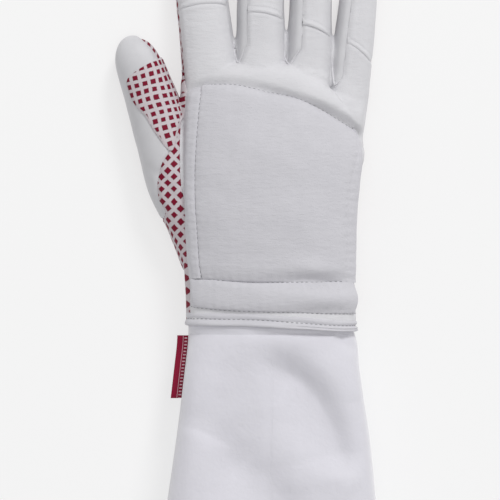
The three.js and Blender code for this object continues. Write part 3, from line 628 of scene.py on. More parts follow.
def strip_edge(spot, finger):
    """The side strip between two fingers: their facing walls, and what shows on top of the second."""
    other = finger + 1
    along, next_along = spot.finger_along[finger], spot.finger_along[other]
    height = (spot.finger_height[finger] + spot.finger_height[other]) / 2
    side = np.minimum(spot.z - STRIP_LOW * height, STRIP_HIGH * height - spot.z)
    near_wall = np.minimum(spot.finger_across[finger], side)
    into = blend_in(-0.02, 0.12, next_along) * (1 - blend_in(0.7, STRIP_END, next_along))
    middle = STRIP_LEAN * halfway(other, finger, next_along)
    seam = middle + (FINGERS[other, STRIP] * spot.finger_half[other] - middle) * into
    reach = finger_frame(other)[3]
    over = np.minimum(spot.z - STRIP_LOW * height, next_along * reach)
    top = np.minimum(seam - spot.finger_across[other], over)
    far_wall = np.maximum(np.minimum(-spot.finger_across[other], side), top)
    on_first = spot.finger_across[finger] < halfway(finger, other, along)
    own_along = np.where(on_first, along, next_along)
    ends = np.minimum(own_along - STRIP_START, STRIP_END - own_along) * reach
    edge = np.minimum(np.where(on_first, near_wall, far_wall), ends)
    return np.where((spot.owner == finger) | (spot.owner == other), edge, -HAND_WIDTH)


def thumb_panel_edge(spot):
    """The thumb's outer panel, left of its seam and above the thumb's lower side."""
    seam = smooth_curve(THUMB_PANEL_EDGE, 1, spot.thumb_along) * THUMB_WIDTH
    return np.minimum(seam - spot.thumb_across, spot.z - THUMB_PANEL_LOW * THUMB_HEIGHT)


def whole_back_edge(spot):
    """The back of the hand and fingers, above its seams with the palm on the two outer sides."""
    onto = blend_in(0.82, 1.0, spot.along)
    radial = spot.x - smooth_curve(RADIAL_SEAM, 1, spot.along) * HAND_WIDTH
    index = spot.finger_across[0] - INDEX_SEAM * spot.finger_half[0]
    share = RADIAL_SEAM_HEIGHT + (ULNAR_SEAM - RADIAL_SEAM_HEIGHT) * blend_in(-40, 40, spot.x)
    finger_low = ULNAR_SEAM * spot.own(spot.finger_height)
    low = (1 - onto) * (spot.rest + share * spot.height) + onto * finger_low
    return np.minimum((1 - onto) * radial + onto * index, spot.z - low)


def crease_place(finger, across):
    """How far up a finger its crease lies, in millimetres from the root: a slanted arch across the finger."""
    half_width = FINGERS[finger, WIDTH] * HAND_WIDTH / 2
    arch = KNUCKLE_ARCH * (across / half_width) ** 2
    middle = FINGERS[finger, CREASE] * FINGERS[finger, LENGTH] * FINGER_LENGTH
    return middle - FINGERS[finger, SLANT] * across - arch


def cover_edge(spot):
    """The outer half of each finger's back, beyond its crease."""
    reach = FINGERS[spot.owner, LENGTH] * FINGER_LENGTH
    return spot.own(spot.finger_along) * reach - crease_place(spot.owner, spot.own(spot.finger_across))


def seam_edges(points):
    """The distance inside each panel's edge, by the panel's name."""
    spot = Spot(points)
    strips = {f"side_strip_{FINGER_NAMES[i]}_{FINGER_NAMES[i + 1]}": strip_edge(spot, i) for i in range(3)}
    any_strip = np.max(list(strips.values()), axis=0)
    thumb = thumb_panel_edge(spot)
    whole, others = whole_back_edge(spot), -np.maximum(any_strip, thumb)
    back, palm = np.minimum(whole, others), np.minimum(-whole, others)
    cover = cover_edge(spot)
    edges = {"hand_back": np.minimum(back, -cover), "thumb_panel": thumb, "grip_palm": palm, **strips}
    for finger, name in enumerate(FINGER_NAMES):
        edges[f"finger_cover_{name}"] = np.where(spot.owner == finger, np.minimum(back, cover), -HAND_WIDTH)
    return edges


SEAM_DEPTH = 0.55
SEAM_WIDTH = 1.3
SEAM_ROLL = 0.22
SEAM_ROLL_PLACE = 2.6


def used_only(columns, triangles):
    """Columns of values for the points that the triangles still use, and the triangles renumbered."""
    used, triangles = np.unique(triangles, return_inverse=True)
    return [column[used] for column in columns], triangles.reshape(-1, 3)


def cut_along(points, triangles, edge, extras):
    """The part of a surface where edge is above 0, split where edge is 0, with the extras' values kept."""
    edge = np.where(np.abs(edge) < 1e-5, 1e-5, edge)
    inside = edge[triangles] > 0
    count = inside.sum(1)
    kept = triangles[count == 3]
    split = (count == 1) | (count == 2)
    crossing = triangles[split]
    tips = count[split] == 1
    alone = inside[split] == tips[:, None]
    first = np.argmax(alone, axis=1)
    row = np.arange(len(crossing))
    lone, left, right = (crossing[row, (first + turn) % 3] for turn in range(3))
    pairs = np.sort(np.concatenate([np.stack([lone, left], -1), np.stack([lone, right], -1)]), axis=1)
    pairs, number = np.unique(pairs, axis=0, return_inverse=True)
    number = number.ravel()
    share = (edge[pairs[:, 0]] / (edge[pairs[:, 0]] - edge[pairs[:, 1]]))[:, None]
    everything = np.concatenate([points, edge[:, None], *extras], axis=1)
    between = everything[pairs[:, 0]] * (1 - share) + everything[pairs[:, 1]] * share
    everything = np.concatenate([everything, between])
    on_left, on_right = number[: len(row)] + len(points), number[len(row):] + len(points)
    parts = [
        kept,
        np.stack([lone, on_left, on_right], -1)[tips],
        np.stack([on_left, left, right], -1)[~tips],
        np.stack([on_left, right, on_right], -1)[~tips],
    ]
    widths = np.cumsum([3, 1] + [extra.shape[1] for extra in extras])
    return used_only(np.split(everything, widths[:-1], axis=1), np.concatenate(parts))


def largest_body(points, triangles):
    """Triangles of the biggest connected part, by spreading each body's lowest vertex number."""
    label = np.arange(len(points))
    while True:
        lowest = label[triangles].min(1)
        spread = label.copy()
        np.minimum.at(spread, triangles.ravel(), np.repeat(lowest, 3))
        spread = spread[spread]
        if np.array_equal(spread, label):
            break
        label = spread
    names, counts = np.unique(label, return_counts=True)
    return triangles[label[triangles[:, 0]] == names[counts.argmax()]]


def seam_valley(edge):
    """How far the skin sinks near a seam, with the rolled fold that stands beside it."""
    sink = SEAM_DEPTH * np.exp(-((edge / SEAM_WIDTH) ** 2))
    return SEAM_ROLL * np.exp(-(((edge - SEAM_ROLL_PLACE) / SEAM_WIDTH) ** 2)) - sink


WALL_SHARE = 0.65


def down_wall(turn, drop):
    """How far sideways the print runs on where the skin turns down, by how far round and down a point is."""
    return WALL_SHARE * np.abs(turn) * turn * drop


def print_places(points):
    """Where the grip print lies: plan coordinates that run on down the walls, so squares keep their size."""
    spot = Spot(points)
    beyond = blend_in(-8, 4, spot.y - web_line(spot.x))
    thumbward = blend_in(2, 8, -HAND_WIDTH / 2 - spot.x) * blend_in(0.35, 0.5, spot.thumb_along)
    hand_turn = np.clip(spot.x / (HAND_WIDTH / 2), -1, 1)
    finger_turn = np.clip(spot.own(spot.finger_across) / spot.own(spot.finger_half), -1, 1)
    turn = (1 - beyond) * hand_turn + beyond * finger_turn
    turn = (1 - thumbward) * turn + thumbward * spot.thumb_turn
    hand_top = spot.rest + RADIAL_SEAM_HEIGHT * spot.height
    top = (1 - beyond) * hand_top + beyond * spot.own(spot.finger_height)
    drop = np.maximum((1 - thumbward) * top + thumbward * spot.thumb_height - spot.z, 0)
    tip = blend_in(0.85, 1, spot.own(spot.finger_along))
    return np.stack([spot.x + down_wall(turn, drop), spot.y + tip * drop], -1)


# The back dips to the pad's top seam and rolls up again over the knuckles.
# Columns: across and along, as shares of the hand's width and length.
KNUCKLE_VALLEY = np.array([
    (-0.52, 0.878), (-0.452, 0.893), (-0.358, 0.917), (-0.276, 0.92), (-0.165, 0.915), (-0.055, 0.901),
    (0.055, 0.88), (0.165, 0.855), (0.276, 0.828), (0.358, 0.8), (0.431, 0.77), (0.52, 0.718),
])
ROLL_HEIGHT = 3.9
ROLL_RISE, ROLL_FALL = (-2.5, 4), (5, 26)
ROLL_LEAST, ROLL_GAIN = 0.36, 0.62
VALLEY_DEPTH, VALLEY_PLACE, VALLEY_WIDTH = 1.6, -0.5, 2
SKIN_WAVE, SKIN_RIPPLE = 0.3, 0.1
# Creases in the suede: from and to points in millimetres, width and depth.
SUEDE_CREASES = np.array([
    (24, 137.5, 33, 131.5, 1.6, 0.55),
    (20, 143, 30, 139.5, 1.5, 0.3),
    (14.5, 141, 23, 141.5, 1.2, 0.25),
    (37, 129, 48, 124, 3.2, 0.7),
    (36, 119, 46, 121, 2.2, 0.35),
    (-3, 146, 6, 141, 2.0, 0.2),
    (-24, 143, -17, 146, 1.8, 0.22),
    (-66, 118, -60, 112, 2.4, 0.3),
    (-74, 92, -66, 88, 2.6, 0.3),
    (-60, 84, -53, 72, 3.4, 0.8),
    (-64, 78, -57, 66, 3.0, 0.4),
    (-62, 60, -54, 52, 2.6, 0.35),
    (46.2, 108.5, 49.4, 99, 1.4, 0.9),
    (49.4, 99, 49.2, 87, 1.2, 0.7),
])


def waves(points, length, seed):
    """Smooth unevenness between about -1 and 1: a sum of seven sine waves in turned directions."""
    dice = np.random.default_rng(seed)
    turns = dice.normal(size=(7, 3))
    size = np.linalg.norm(turns, axis=1, keepdims=True)
    turns *= 2 * np.pi / (size * length * dice.uniform(0.6, 1.6, (7, 1)))
    return np.sin(points @ turns.T + dice.uniform(0, 2 * np.pi, 7)).sum(-1) / 4


def from_lines(plan, starts, runs):
    """For points and straight lines: the share along each line, the offset from it, and the distance."""
    offset = plan[..., None, :] - starts
    share = np.clip((offset * runs).sum(-1) / (runs * runs).sum(-1), 0, 1)
    away = offset - share[..., None] * runs
    return share, away, np.linalg.norm(away, axis=-1)


def skin_relief(points):
    """How far the filled skin stands off its plain form: knuckle roll, creases and slight unevenness."""
    x, y, z = points.T
    above = y - smooth_curve(KNUCKLE_VALLEY, 1, x / HAND_WIDTH) * HAND_LENGTH
    on_top = blend_in(14, 24, z) * blend_in(-52, -44, x)
    weight = ROLL_LEAST + ROLL_GAIN * blend_in(-20, 30, x)
    roll = ROLL_HEIGHT * weight * (blend_in(*ROLL_RISE, above) - blend_in(*ROLL_FALL, above))
    valley = np.exp(-(((above - VALLEY_PLACE) / VALLEY_WIDTH) ** 2))
    dip = VALLEY_DEPTH * weight * valley * blend_in(-52, -30, x)
    total = on_top * (roll - dip)
    starts, ends, (width, depth) = SUEDE_CREASES[:, :2], SUEDE_CREASES[:, 2:4], SUEDE_CREASES[:, 4:].T
    distance = from_lines(points[:, :2], starts, ends - starts)[2]
    creases = (depth * np.exp(-((distance / width) ** 2))).sum(-1) * blend_in(8, 14, z)
    return total - creases + SKIN_WAVE * waves(points, 34, 3) + SKIN_RIPPLE * waves(points, 11, 4)


skin_edges = seam_edges(skin_points)
skin_print = print_places(skin_points)
plain_normals = vertex_normals(skin_points, skin_triangles)
skin_points = on_floor(skin_points + plain_normals * skin_relief(skin_points)[:, None])
skin_normals = vertex_normals(skin_points, skin_triangles)
WRIST_CUT = 0.4
WELL_INSIDE = 10.0
# How far above the wrist line the hem's edge hangs: across in shares of the hand's width, and millimetres.
HEM_RISE = np.array([(-0.5, 3.4), (-0.3, 3.3), (-0.05, 2.8), (0.16, 1.3), (0.36, 0.1), (0.5, 0)])


def hem_edge(x):
    """Height of the hem's lower edge along the glove, in millimetres."""
    return smooth_curve(HEM_RISE, 1, x / HAND_WIDTH) - HEM_OVERHANG


def add_places(piece, places, inset=WELL_INSIDE):
    """Keeps pattern coordinates and the distance inside the print's edge, as a vector attribute."""
    attribute = piece.data.attributes.new("places", "FLOAT_VECTOR", "POINT")
    places = places.reshape(-1, 2)
    carried = np.concatenate([places, np.broadcast_to(inset, (len(places), 1))], axis=1)
    attribute.data.foreach_set("vector", carried.astype(np.float32).ravel())


def dressed(piece, finish, node=None, wall=0.0, offset=-1):
    """Gives a piece its material, its wall where it is a sheet, and its part in the frame."""
    piece.data.materials.append(finish)
    if wall:
        solid = piece.modifiers.new("wall", "SOLIDIFY")
        solid.thickness = wall * MM
        solid.offset = offset
    if node:
        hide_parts(node)
    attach(piece, "root")


def panel(name, finish, wall):
    """One sewn panel: its part of the skin, sunk along its seams, with the wall's thickness inwards."""
    edge = skin_edges[name]
    open_end = skin_points[:, 1] - hem_edge(skin_points[:, 0]) - WRIST_CUT
    carried = [skin_normals, skin_print, edge[:, None]]
    columns, faces = cut_along(skin_points, skin_triangles, np.minimum(edge, open_end), carried)
    (points, _, normals, places, inner), faces = used_only(columns, largest_body(columns[0], faces))
    points = points + normals * seam_valley(np.maximum(inner, 0))
    piece = new_piece(name + "_piece", on_floor(points), faces)
    add_places(piece, places)
    dressed(piece, finish, name, wall)


# Back and finger covers
# White split suede, soft and a little wrinkled, covers the whole back and runs up onto the fingers. The outer
# half of each finger's back is a cover of its own, sewn on just past the knuckle.
SUEDE_COLOUR = (0.685, 0.68, 0.703)
SUEDE_SHADE = (0.645, 0.64, 0.665)
SUEDE_WALL = 1.3


def suede_finish(name, colour, shade):
    finish = Finish(name)
    place = finish.place()
    cloudy = finish.noise(place, 0.06, 4.0, 0.6)
    nap = finish.noise(place, 1.6, 4.0, 0.65)
    creased = finish.noise(finish.stretched(place, (0.5, 1.3, 0.8)), 0.3, 3.0, 0.55)
    wrinkled = finish.noise(finish.stretched(place, (0.18, 1.0, 0.6)), 0.9, 3.0, 0.6)
    tone = cloudy.ramp(0.3, 0.7) * 0.65 + nap.ramp(0.2, 0.8) * 0.35
    finish.set(Base_Color=finish.mix(tone, shade, colour), Roughness=nap * 0.15 + 0.78)
    bump = finish.relief(wrinkled, 0.18, finish.relief(creased, 0.3))
    finish.set(Normal=finish.relief(nap, 0.16, bump), Sheen_Weight=0.25, Sheen_Roughness=0.4)
    return finish.material


white_suede = suede_finish("white_suede", SUEDE_COLOUR, SUEDE_SHADE)
panel("hand_back", white_suede, SUEDE_WALL)
for finger_name in FINGER_NAMES:
    panel(f"finger_cover_{finger_name}", white_suede, SUEDE_WALL)

# Side strips and thumb panel
# Smoother and slightly greyer leather makes the walls between the fingers with the webs, and the plain outer
# side of the thumb.
LEATHER_COLOUR = (0.62, 0.617, 0.638)
LEATHER_SHADE = (0.58, 0.577, 0.598)
STRIP_WALL, THUMB_WALL = 1.2, 1.3


def leather_finish():
    finish = Finish("white_leather")
    place = finish.place()
    cloudy = finish.noise(place, 0.08, 3.0, 0.6)
    grain = finish.noise(place, 2.4, 2.0, 0.5)
    tone = cloudy.ramp(0.3, 0.7)
    finish.set(Base_Color=finish.mix(tone, LEATHER_SHADE, LEATHER_COLOUR), Roughness=grain * 0.2 + 0.5)
    finish.set(Normal=finish.relief(grain, 0.06), Sheen_Weight=0.1)
    return finish.material


white_leather = leather_finish()
for first, second in zip(FINGER_NAMES, FINGER_NAMES[1:]):
    panel(f"side_strip_{first}_{second}", white_leather, STRIP_WALL)
panel("thumb_panel", white_leather, THUMB_WALL)

# Grip palm
# A knit with a regular print of raised crimson squares, laid on the bias, makes the palm. It wraps round the
# hand's thumb side and the fronts of the fingers.
PRINT_SQUARE_SHARE = 0.63
PRINT_INSET = 1.1
PALM_PITCH, PATCH_PITCH = 4.9, 4.4
PALM_WALL = 1.4
KNIT_COLOUR = (0.62, 0.565, 0.59)
CRIMSON = (0.19, 0.001, 0.02)


def grip_finish(name, turn, pitch):
    """Knit with a printed grid of raised rounded squares, each a little off its place and size."""
    finish = Finish(name)
    places = finish.places()
    within = finish.parts(places)[2].ramp(PRINT_INSET - 0.2, PRINT_INSET + 0.2)
    flat = finish.stretched(places, (1, 1, 0))
    warp = finish.node("TexNoise", None, 1, Vector=flat, Scale=0.05, Detail=1.0)
    centred = {"operation": "MULTIPLY_ADD"}
    warp = finish.node("VectorMath", centred, 0, _0=warp, _1=(3, 3, 0), _2=(-1.5, -1.5, 0))
    moved = finish.node("VectorMath", {"operation": "ADD"}, 0, _0=flat, _1=warp)
    turned = finish.node("VectorRotate", {"rotation_type": "Z_AXIS"}, 0, Vector=moved, Angle=np.radians(turn))
    along, across = (part * (1 / pitch) for part in finish.parts(turned)[:2])
    cell = finish.node("CombineXYZ", None, 0, _0=along.floor(), _1=across.floor())
    chance = finish.node("TexWhiteNoise", {"noise_dimensions": "2D"}, 0, Vector=cell)
    reach = (along - along.floor() - 0.5).absolute().larger((across - across.floor() - 0.5).absolute())
    rough_edge = finish.noise(flat, 1.1, 2.0) * 0.1
    limit = PRINT_SQUARE_SHARE / 2
    square = (reach + rough_edge + chance * 0.05).ramp(limit + 0.075, limit + 0.02) * within
    knit = finish.noise(flat, 2.2, 2.0)
    ground = finish.mix(knit, darker(KNIT_COLOUR, 0.9), KNIT_COLOUR)
    finish.set(Base_Color=finish.mix(square, ground, CRIMSON), Roughness=0.85 - square * 0.2)
    finish.set(Normal=finish.relief(square, 0.25, finish.relief(knit, 0.12)), Specular_IOR_Level=0.2)
    return finish.material


panel("grip_palm", grip_finish("grip_print_bias", 45, PALM_PITCH), PALM_WALL)

# Pads
# Foam channels are quilted onto the back under suede: one broad pad, a narrow channel down each side and one
# across the wrist. They are fullest in the middle and pinched flat along their stitching.
PAD_THICKNESS = 4.2
PAD_EDGE = 0.4
PAD_LEVEL = 0.6
PAD_FLOOR = 0.1
PAD_SINK = 0.3
PAD_SHARP = np.radians(50)
PUCKER_HEIGHT, PUCKER_PITCH, PUCKER_REACH = 0.2, 4.8, 3
PAD_WAVE, PAD_RIPPLE = 0.26, 0.1
# The pads and the wrist hem wear a darker copy of the white suede. Its darkness is partly the pads' rougher
# suede and partly painted shade.
PAD_SHADED_COLOUR = (0.618, 0.61, 0.645)
PAD_SHADED_MOTTLE = (0.572, 0.565, 0.6)
suede_with_painted_shade = suede_finish("suede_with_painted_shade", PAD_SHADED_COLOUR, PAD_SHADED_MOTTLE)
# left and right are evenly spaced shares of the half width along the pad, and bottom and top are shares of
# the hand's length across it. For the left, right, bottom and top edge in turn, rounds is how far in the pad
# rounds down, in millimetres, and rims the share of its height that it loses, run along the edge. crown is
# the share of height that only the middle has, soft is 1 for an edge that runs out flat, and wraps, in
# radians, takes the right edge on round the side.
PADS = {
    "pad_main": dict(
        left=(-0.775, -0.795, -0.74), right=(0.875, 0.865, 0.9), bottom=(0.19, 0.178, 0.213),
        top=(0.911, 0.909, 0.874, 0.888, 0.9), rounds=(2.8, 4, 8, 5), crown=0.4, wraps=(0, 0),
        soft=(0, 1, 0, 0), columns=150, rows=150,
        rims=((0.26, 0.2, 0.18), (0.06, 0.06), (0.5, 0.7, 0.8, 0.55, 0.04), (0.6, 1, 1, 1)),
    ),
    "pad_radial_channel": dict(
        left=(-0.955, -0.975, -0.975), right=(-0.775, -0.795, -0.74), bottom=(0.191, 0.191, 0.192),
        top=(0.891, 0.901, 0.906), rounds=(9, 1.6, 3, 5), crown=0.05, wraps=(0, 0), soft=(1, 0, 1, 1),
        rims=((1, 1), (0.26, 0.2, 0.18), (0.06, 0.06), (1, 1)), columns=34, rows=150,
    ),
    "pad_ulnar_channel": dict(
        left=(0.875, 0.865, 0.9), right=(0.998, 0.996, 0.996), bottom=(0.213, 0.213, 0.215),
        top=(0.912, 0.902, 0.892), rounds=(4, 11, 3, 3), crown=0.05, wraps=(0.3, 0.25, -0.3),
        soft=(1, 1, 0, 0), rims=((0.06, 0.06), (1, 1), (0.03, 0), (1, 1)), columns=34, rows=150,
    ),
    "pad_wrist_channel": dict(
        left=(-0.95, -0.95, -0.95), right=(0.995, 0.995, 0.995), bottom=(0.088, 0.068, 0.076),
        top=(0.1915, 0.187, 0.177, 0.1872, 0.2115, 0.2125), rounds=(8, 14, 10, 4), crown=0.1,
        wraps=(0.1, 0.1), soft=(1, 1, 0, 0),
        rims=((1, 1), (1, 1), (0.9, 1, 1), (0.05, 0.5, 0.6, 0.6, 0.06, 0)), columns=170, rows=40,
    ),
}
# Dents: across and along in millimetres, half sizes that way, and depth.
PAD_DENTS = (
    (24, 26, 15, 4.2, 2.1),
    (0, 27, 20, 4, 0.6),
    (44, 100, 4, 16, 0.5),
    (-30, 127, 7, 3, 0.3),
    (29, 10.5, 18, 2.6, 0.8),
    (30, 18, 19, 5.2, -2.3),
    (24, 33.5, 16, 4.5, -0.9),
    (2, 21, 20, 5, -0.6),
)


def even_curve(values, at):
    """Smooth cubic through evenly spaced values, from the first at 0 to the last at 1."""
    return smooth_curve(np.stack([np.linspace(0, 1, len(values)), values], -1), 1, at)


def angle_at(share, fullness):
    """The angle at which a superellipse reaches a share of its half width."""
    return np.arccos(np.clip(signed_power(share, fullness / 2), -1, 1))


def off_surface(skin, *place):
    """Points on a skin, and the way that a millimetre of lift moves each."""
    base = skin(*place)
    return base, skin(*place, 1.0) - base


def pad_skin(spec, share_across, share_along, lift=0.0):
    """A place on a pad, by its shares across and along; lift raises it over the hand's own section."""
    start = angle_at(even_curve(spec["left"], share_along), HAND_FULLNESS)
    end = angle_at(even_curve(spec["right"], share_along), HAND_FULLNESS)
    end = end - even_curve(spec["wraps"], share_along)
    bottom, top = even_curve(spec["bottom"], share_across), even_curve(spec["top"], share_across)
    return hand_skin(bottom + (top - bottom) * share_along, start + (end - start) * share_across, lift)


def edge_round(share):
    """0 at the edge, rising on a quarter circle to 1."""
    return np.sqrt(1 - (1 - np.clip(share, 0, 1)) ** 2)


def dents(points, table):
    """Soft round dents, each a bell curve across and along."""
    x, y = points[..., 0], points[..., 1]
    return sum(
        depth * np.exp(-(((x - across) / half_x) ** 2) - ((y - along) / half_y) ** 2)
        for across, along, half_x, half_y, depth in table
    )


def pad_lift(spec, base, across, along):
    """Height of a pad's top over the hand: rounded edges, a crown, puckers at the stitching, and dents."""
    width = np.linalg.norm(np.diff(base, axis=1), axis=-1).sum(1).mean()
    length = np.linalg.norm(np.diff(base, axis=0), axis=-1).sum(0).mean()
    inwards = np.stack([across * width, (1 - across) * width, along * length, (1 - along) * length])
    rounds, soft = (np.array(spec[key])[:, None, None] for key in ("rounds", "soft"))
    edges = zip(spec["rims"], (along, along, across, across))
    rims = np.stack([even_curve(run, place) for run, place in edges])
    rise = np.where(soft == 1, blend_in(0, 1, inwards / rounds), edge_round(inwards / rounds))
    fall = 1 - rims * (1 - rise)
    crown = (1 - np.abs(2 * across - 1) ** 3) * (1 - np.abs(2 * along - 1) ** 4)
    puff = PAD_THICKNESS * (PAD_LEVEL + spec["crown"] * crown) * fall.prod(0)
    run = np.where(inwards[:2].min(0) < inwards[2:].min(0), base[..., 1], base[..., 0])
    near = inwards.min(0)
    turning = run * 2 * np.pi / PUCKER_PITCH + 2 * waves(base, 30, 5)
    pucker = PUCKER_HEIGHT * np.sin(turning) * np.exp(-near / PUCKER_REACH)
    uneven = PAD_WAVE * waves(base, 26, 11) + PAD_RIPPLE * waves(base, 8, 12)
    dent = dents(base, PAD_DENTS)
    level = PAD_EDGE * np.where((soft == 1) & (rims > 0.99), rise, 1).prod(0)
    full = level + puff + (pucker + uneven) * np.clip(near / 1.2, 0.15, 1)
    return np.maximum(full - dent, np.minimum(full, PAD_FLOOR + 0.25 * full))


def pad_piece(name, spec):
    """Closed pad: its puffed top over a plain underside that is sunk a little into the back."""
    across, along = np.meshgrid(np.linspace(0, 1, spec["columns"]), np.linspace(0, 1, spec["rows"]))
    base, raised = off_surface(pad_skin, spec, across, along)
    raised = unit(raised)
    upper = base + raised * pad_lift(spec, base, across, along)[..., None]
    lower = base - raised * PAD_SINK
    rows, columns = upper.shape[:2]
    count = rows * columns
    quads = grid_faces(rows, columns)
    rim = np.concatenate([
        np.arange(columns - 1),
        np.arange(rows - 1) * columns + columns - 1,
        (rows - 1) * columns + np.arange(columns - 1, 0, -1),
        np.arange(rows - 1, 0, -1) * columns,
    ])
    after = np.roll(rim, -1)
    wall = np.stack([rim, after, after + count, rim + count], -1)
    faces = np.concatenate([quads + count, quads[:, ::-1], wall])
    points = np.concatenate([lower.reshape(-1, 3), upper.reshape(-1, 3)])
    piece = new_piece(name + "_piece", points, faces)
    piece.data.set_sharp_from_angle(angle=PAD_SHARP)
    dressed(piece, suede_with_painted_shade, name)


for pad_name, pad_spec in PADS.items():
    pad_piece(pad_name, pad_spec)

# Cuff
# A long sleeve of smooth white cloth, sewn in under the wrist hem and doubled over at its mouth. It falls in
# two soft slanting folds where the wrist bends.
CUFF_LENGTH = 160
CUFF_MOUTH_WIDTH = 124
CUFF_MOUTH_HEIGHT = 60
TUCK_GAP = 0.6
TUCK_ROWS = (9, 7.5, 5, 3.5, 2, 1, 0)
HAND_WALL = 1.6
CUFF_HEM_WIDTH = 14
CUFF_FULLNESS = 4.2
RADIAL_FULLNESS = 6.0
CUFF_ROWS, CUFF_COLUMNS = 168, 280
FIRST_ROW = 0.012
FINE_STEPS = 7200
# Columns: along, radial, ulnar, height, rest, from the wrist (0) to the mouth (1).
CUFF_SECTIONS = np.array([
    (0.0, 0, 0, 0, 0.11),
    (0.05, 0.02, 0.12, 0.02, 0.11),
    (0.12, 0.085, 0.17, 0.08, 0.09),
    (0.24, 0.2, 0.31, 0.24, 0.05),
    (0.36, 0.325, 0.47, 0.38, 0.02),
    (0.57, 0.575, 0.65, 0.62, 0),
    (0.78, 0.84, 0.83, 0.82, 0),
    (1, 1, 1, 1, 0),
])
FOLD_STEPS = 28
FOLD_GROWN, FOLD_FADES = 0.3, 0.84
# Each fold is a line of points across and along, the widths of its upper and lower flank, and its depth, all
# in millimetres.
CUFF_FOLDS = (
    (((-11, -12), (2, -19), (14, -27), (24, -37), (31, -50), (36, -64), (38, -80)), 9.5, 20, 6.8),
    (((-34, -50), (-19, -70), (-5, -85), (4, -101), (10, -120)), 15, 18, 6.2),
    (((-4, -52), (19, -66), (35, -78), (46, -86)), 8, 8, -1.2),
    (((-80, -42), (-54, -47), (-44, -50), (-32, -55), (-18, -62)), 12, 3.5, 1.5),
    (((34, -2), (40, -7), (47, -12)), 5, 2.5, 3.4),
    (((46, -34), (52, -48)), 5, 5, 1.2),
    (((-8, -68), (6, -84), (18, -92)), 8, 6, 0.5),
)


def fold_depth(points):
    """Depth of the soft folds at points on the cuff: a valley along each line, steeper on its upper side."""
    plan = points[..., :2]
    total = np.zeros(plan.shape[:-1])
    steps = np.linspace(0, 1, FOLD_STEPS + 1)
    for line, upper, lower, depth in CUFF_FOLDS:
        corners = np.stack([even_curve(row, steps) for row in zip(*line)], -1)
        run = np.diff(corners, axis=0)
        share, away, distance = from_lines(plan, corners[:-1], run)
        turned = run[:, 0] * away[..., 1] - run[:, 1] * away[..., 0]
        nearest = distance.argmin(-1)[..., None]
        reach, side, part = (
            np.take_along_axis(values, nearest, -1)[..., 0] for values in (distance, turned, share)
        )
        above = side > 0
        walked = (nearest[..., 0] + part) / FOLD_STEPS
        strength = blend_in(0, FOLD_GROWN, walked) * (1 - blend_in(FOLD_FADES, 1, walked))
        below = lower * (0.3 + 0.7 * blend_in(0, 0.5, walked)) if lower > upper else lower
        valley = np.exp(-((reach / np.where(above, upper, below)) ** 2))
        total += strength * depth * valley
    return total


def cuff_skin(along, angle, lift=0.0):
    """Flattened oval sections from the wrist's inside at 0 to the mouth at 1, raised by lift."""
    wrist_along = np.full(1, -HEM_OVERHANG / HAND_LENGTH)
    inside = -HAND_WALL - TUCK_GAP
    wrist = hand_skin(wrist_along, np.array([0, np.pi, np.pi / 2]), inside)
    wrist_height = hand_rise(wrist_along)[0]
    wrist_radial, wrist_ulnar = -wrist[1, 0], wrist[0, 0]
    pairs = (
        (wrist_radial, CUFF_MOUTH_WIDTH / 2),
        (wrist_ulnar, CUFF_MOUTH_WIDTH / 2),
        (wrist_height + 2 * inside, CUFF_MOUTH_HEIGHT),
    )
    radial, ulnar, height = (
        start + (end - start) * smooth_curve(CUFF_SECTIONS, column + 1, along)
        for column, (start, end) in enumerate(pairs)
    )
    rest = HAND_HEIGHT * np.maximum(smooth_curve(CUFF_SECTIONS, 4, along), 0)
    flattened = blend_in(0, 0.2, along) * (1 - 0.7 * blend_in(0.6, 1, along))
    flattest = np.where(np.cos(angle) < 0, RADIAL_FULLNESS, CUFF_FULLNESS)
    fullness = HAND_FULLNESS + (flattest - HAND_FULLNESS) * flattened
    across, rise = round_shares(angle, fullness)
    x = across * (np.where(across < 0, radial, ulnar) + lift)
    z = rest + height * HAND_MIDDLE + rise * (height * (1 - HAND_MIDDLE) + lift)
    return np.stack(np.broadcast_arrays(x, -along * CUFF_LENGTH, np.maximum(z, rest - lift)), -1)


CLOTH_COLOUR = (0.7, 0.69, 0.745)


def cloth_finish():
    finish = Finish("cuff_cloth")
    places = finish.places()
    across, along = finish.parts(places)[:2]
    twill = ((across + along) * (2 * np.pi / 0.9)).sine() * ((across - along) * (2 * np.pi / 0.7)).sine()
    cloudy = finish.noise(places, 0.05, 3.0)
    finish.set(Base_Color=finish.mix(cloudy, darker(CLOTH_COLOUR, 0.95), CLOTH_COLOUR), Roughness=0.7)
    creased = finish.noise(places, 0.12, 3.0, 0.6)
    finish.set(Normal=finish.relief(twill * 0.5 + 0.5, 0.05, finish.relief(creased, 0.4)), Sheen_Weight=0.8)
    return finish.material


CUFF_WALL = 1.4
CUFF_PUFF = 2.6
CUFF_WAVE, CUFF_RIPPLE = 0.5, 0.12
# Dents: across and along in millimetres, half sizes that way, and depth.
CUFF_DENTS = (
    (-46, -55, 15, 50, -4.5),
    (13, -1.2, 18, 3.2, 1.0),
    (30, -20, 9, 9, -0.8),
    (-20, -62, 16, 22, -0.9),
)


def walked_along(path):
    """The distance walked from the start of a path to each of its points."""
    return np.concatenate([[0], np.cumsum(np.linalg.norm(np.diff(path, axis=0), axis=1))])


def cuff_relief(points):
    """How far the cloth stands up: it puffs out from under the hem, with a few soft dents."""
    beyond = hem_edge(np.clip(points[..., 0], -HAND_WIDTH / 2, HAND_WIDTH / 2)) - points[..., 1]
    puff = CUFF_PUFF * (1 - 0.45 * blend_in(-10, 35, points[..., 0]))
    left = 1 - blend_in(-30, 15, points[..., 0])
    total = puff * blend_in(-1 + 1.5 * left, 6 + 5 * left, beyond) * (1 - blend_in(8, 60, beyond))
    total = total - dents(points, CUFF_DENTS) - fold_depth(points)
    return total + CUFF_WAVE * waves(points, 60, 41) + CUFF_RIPPLE * waves(points, 14, 42)


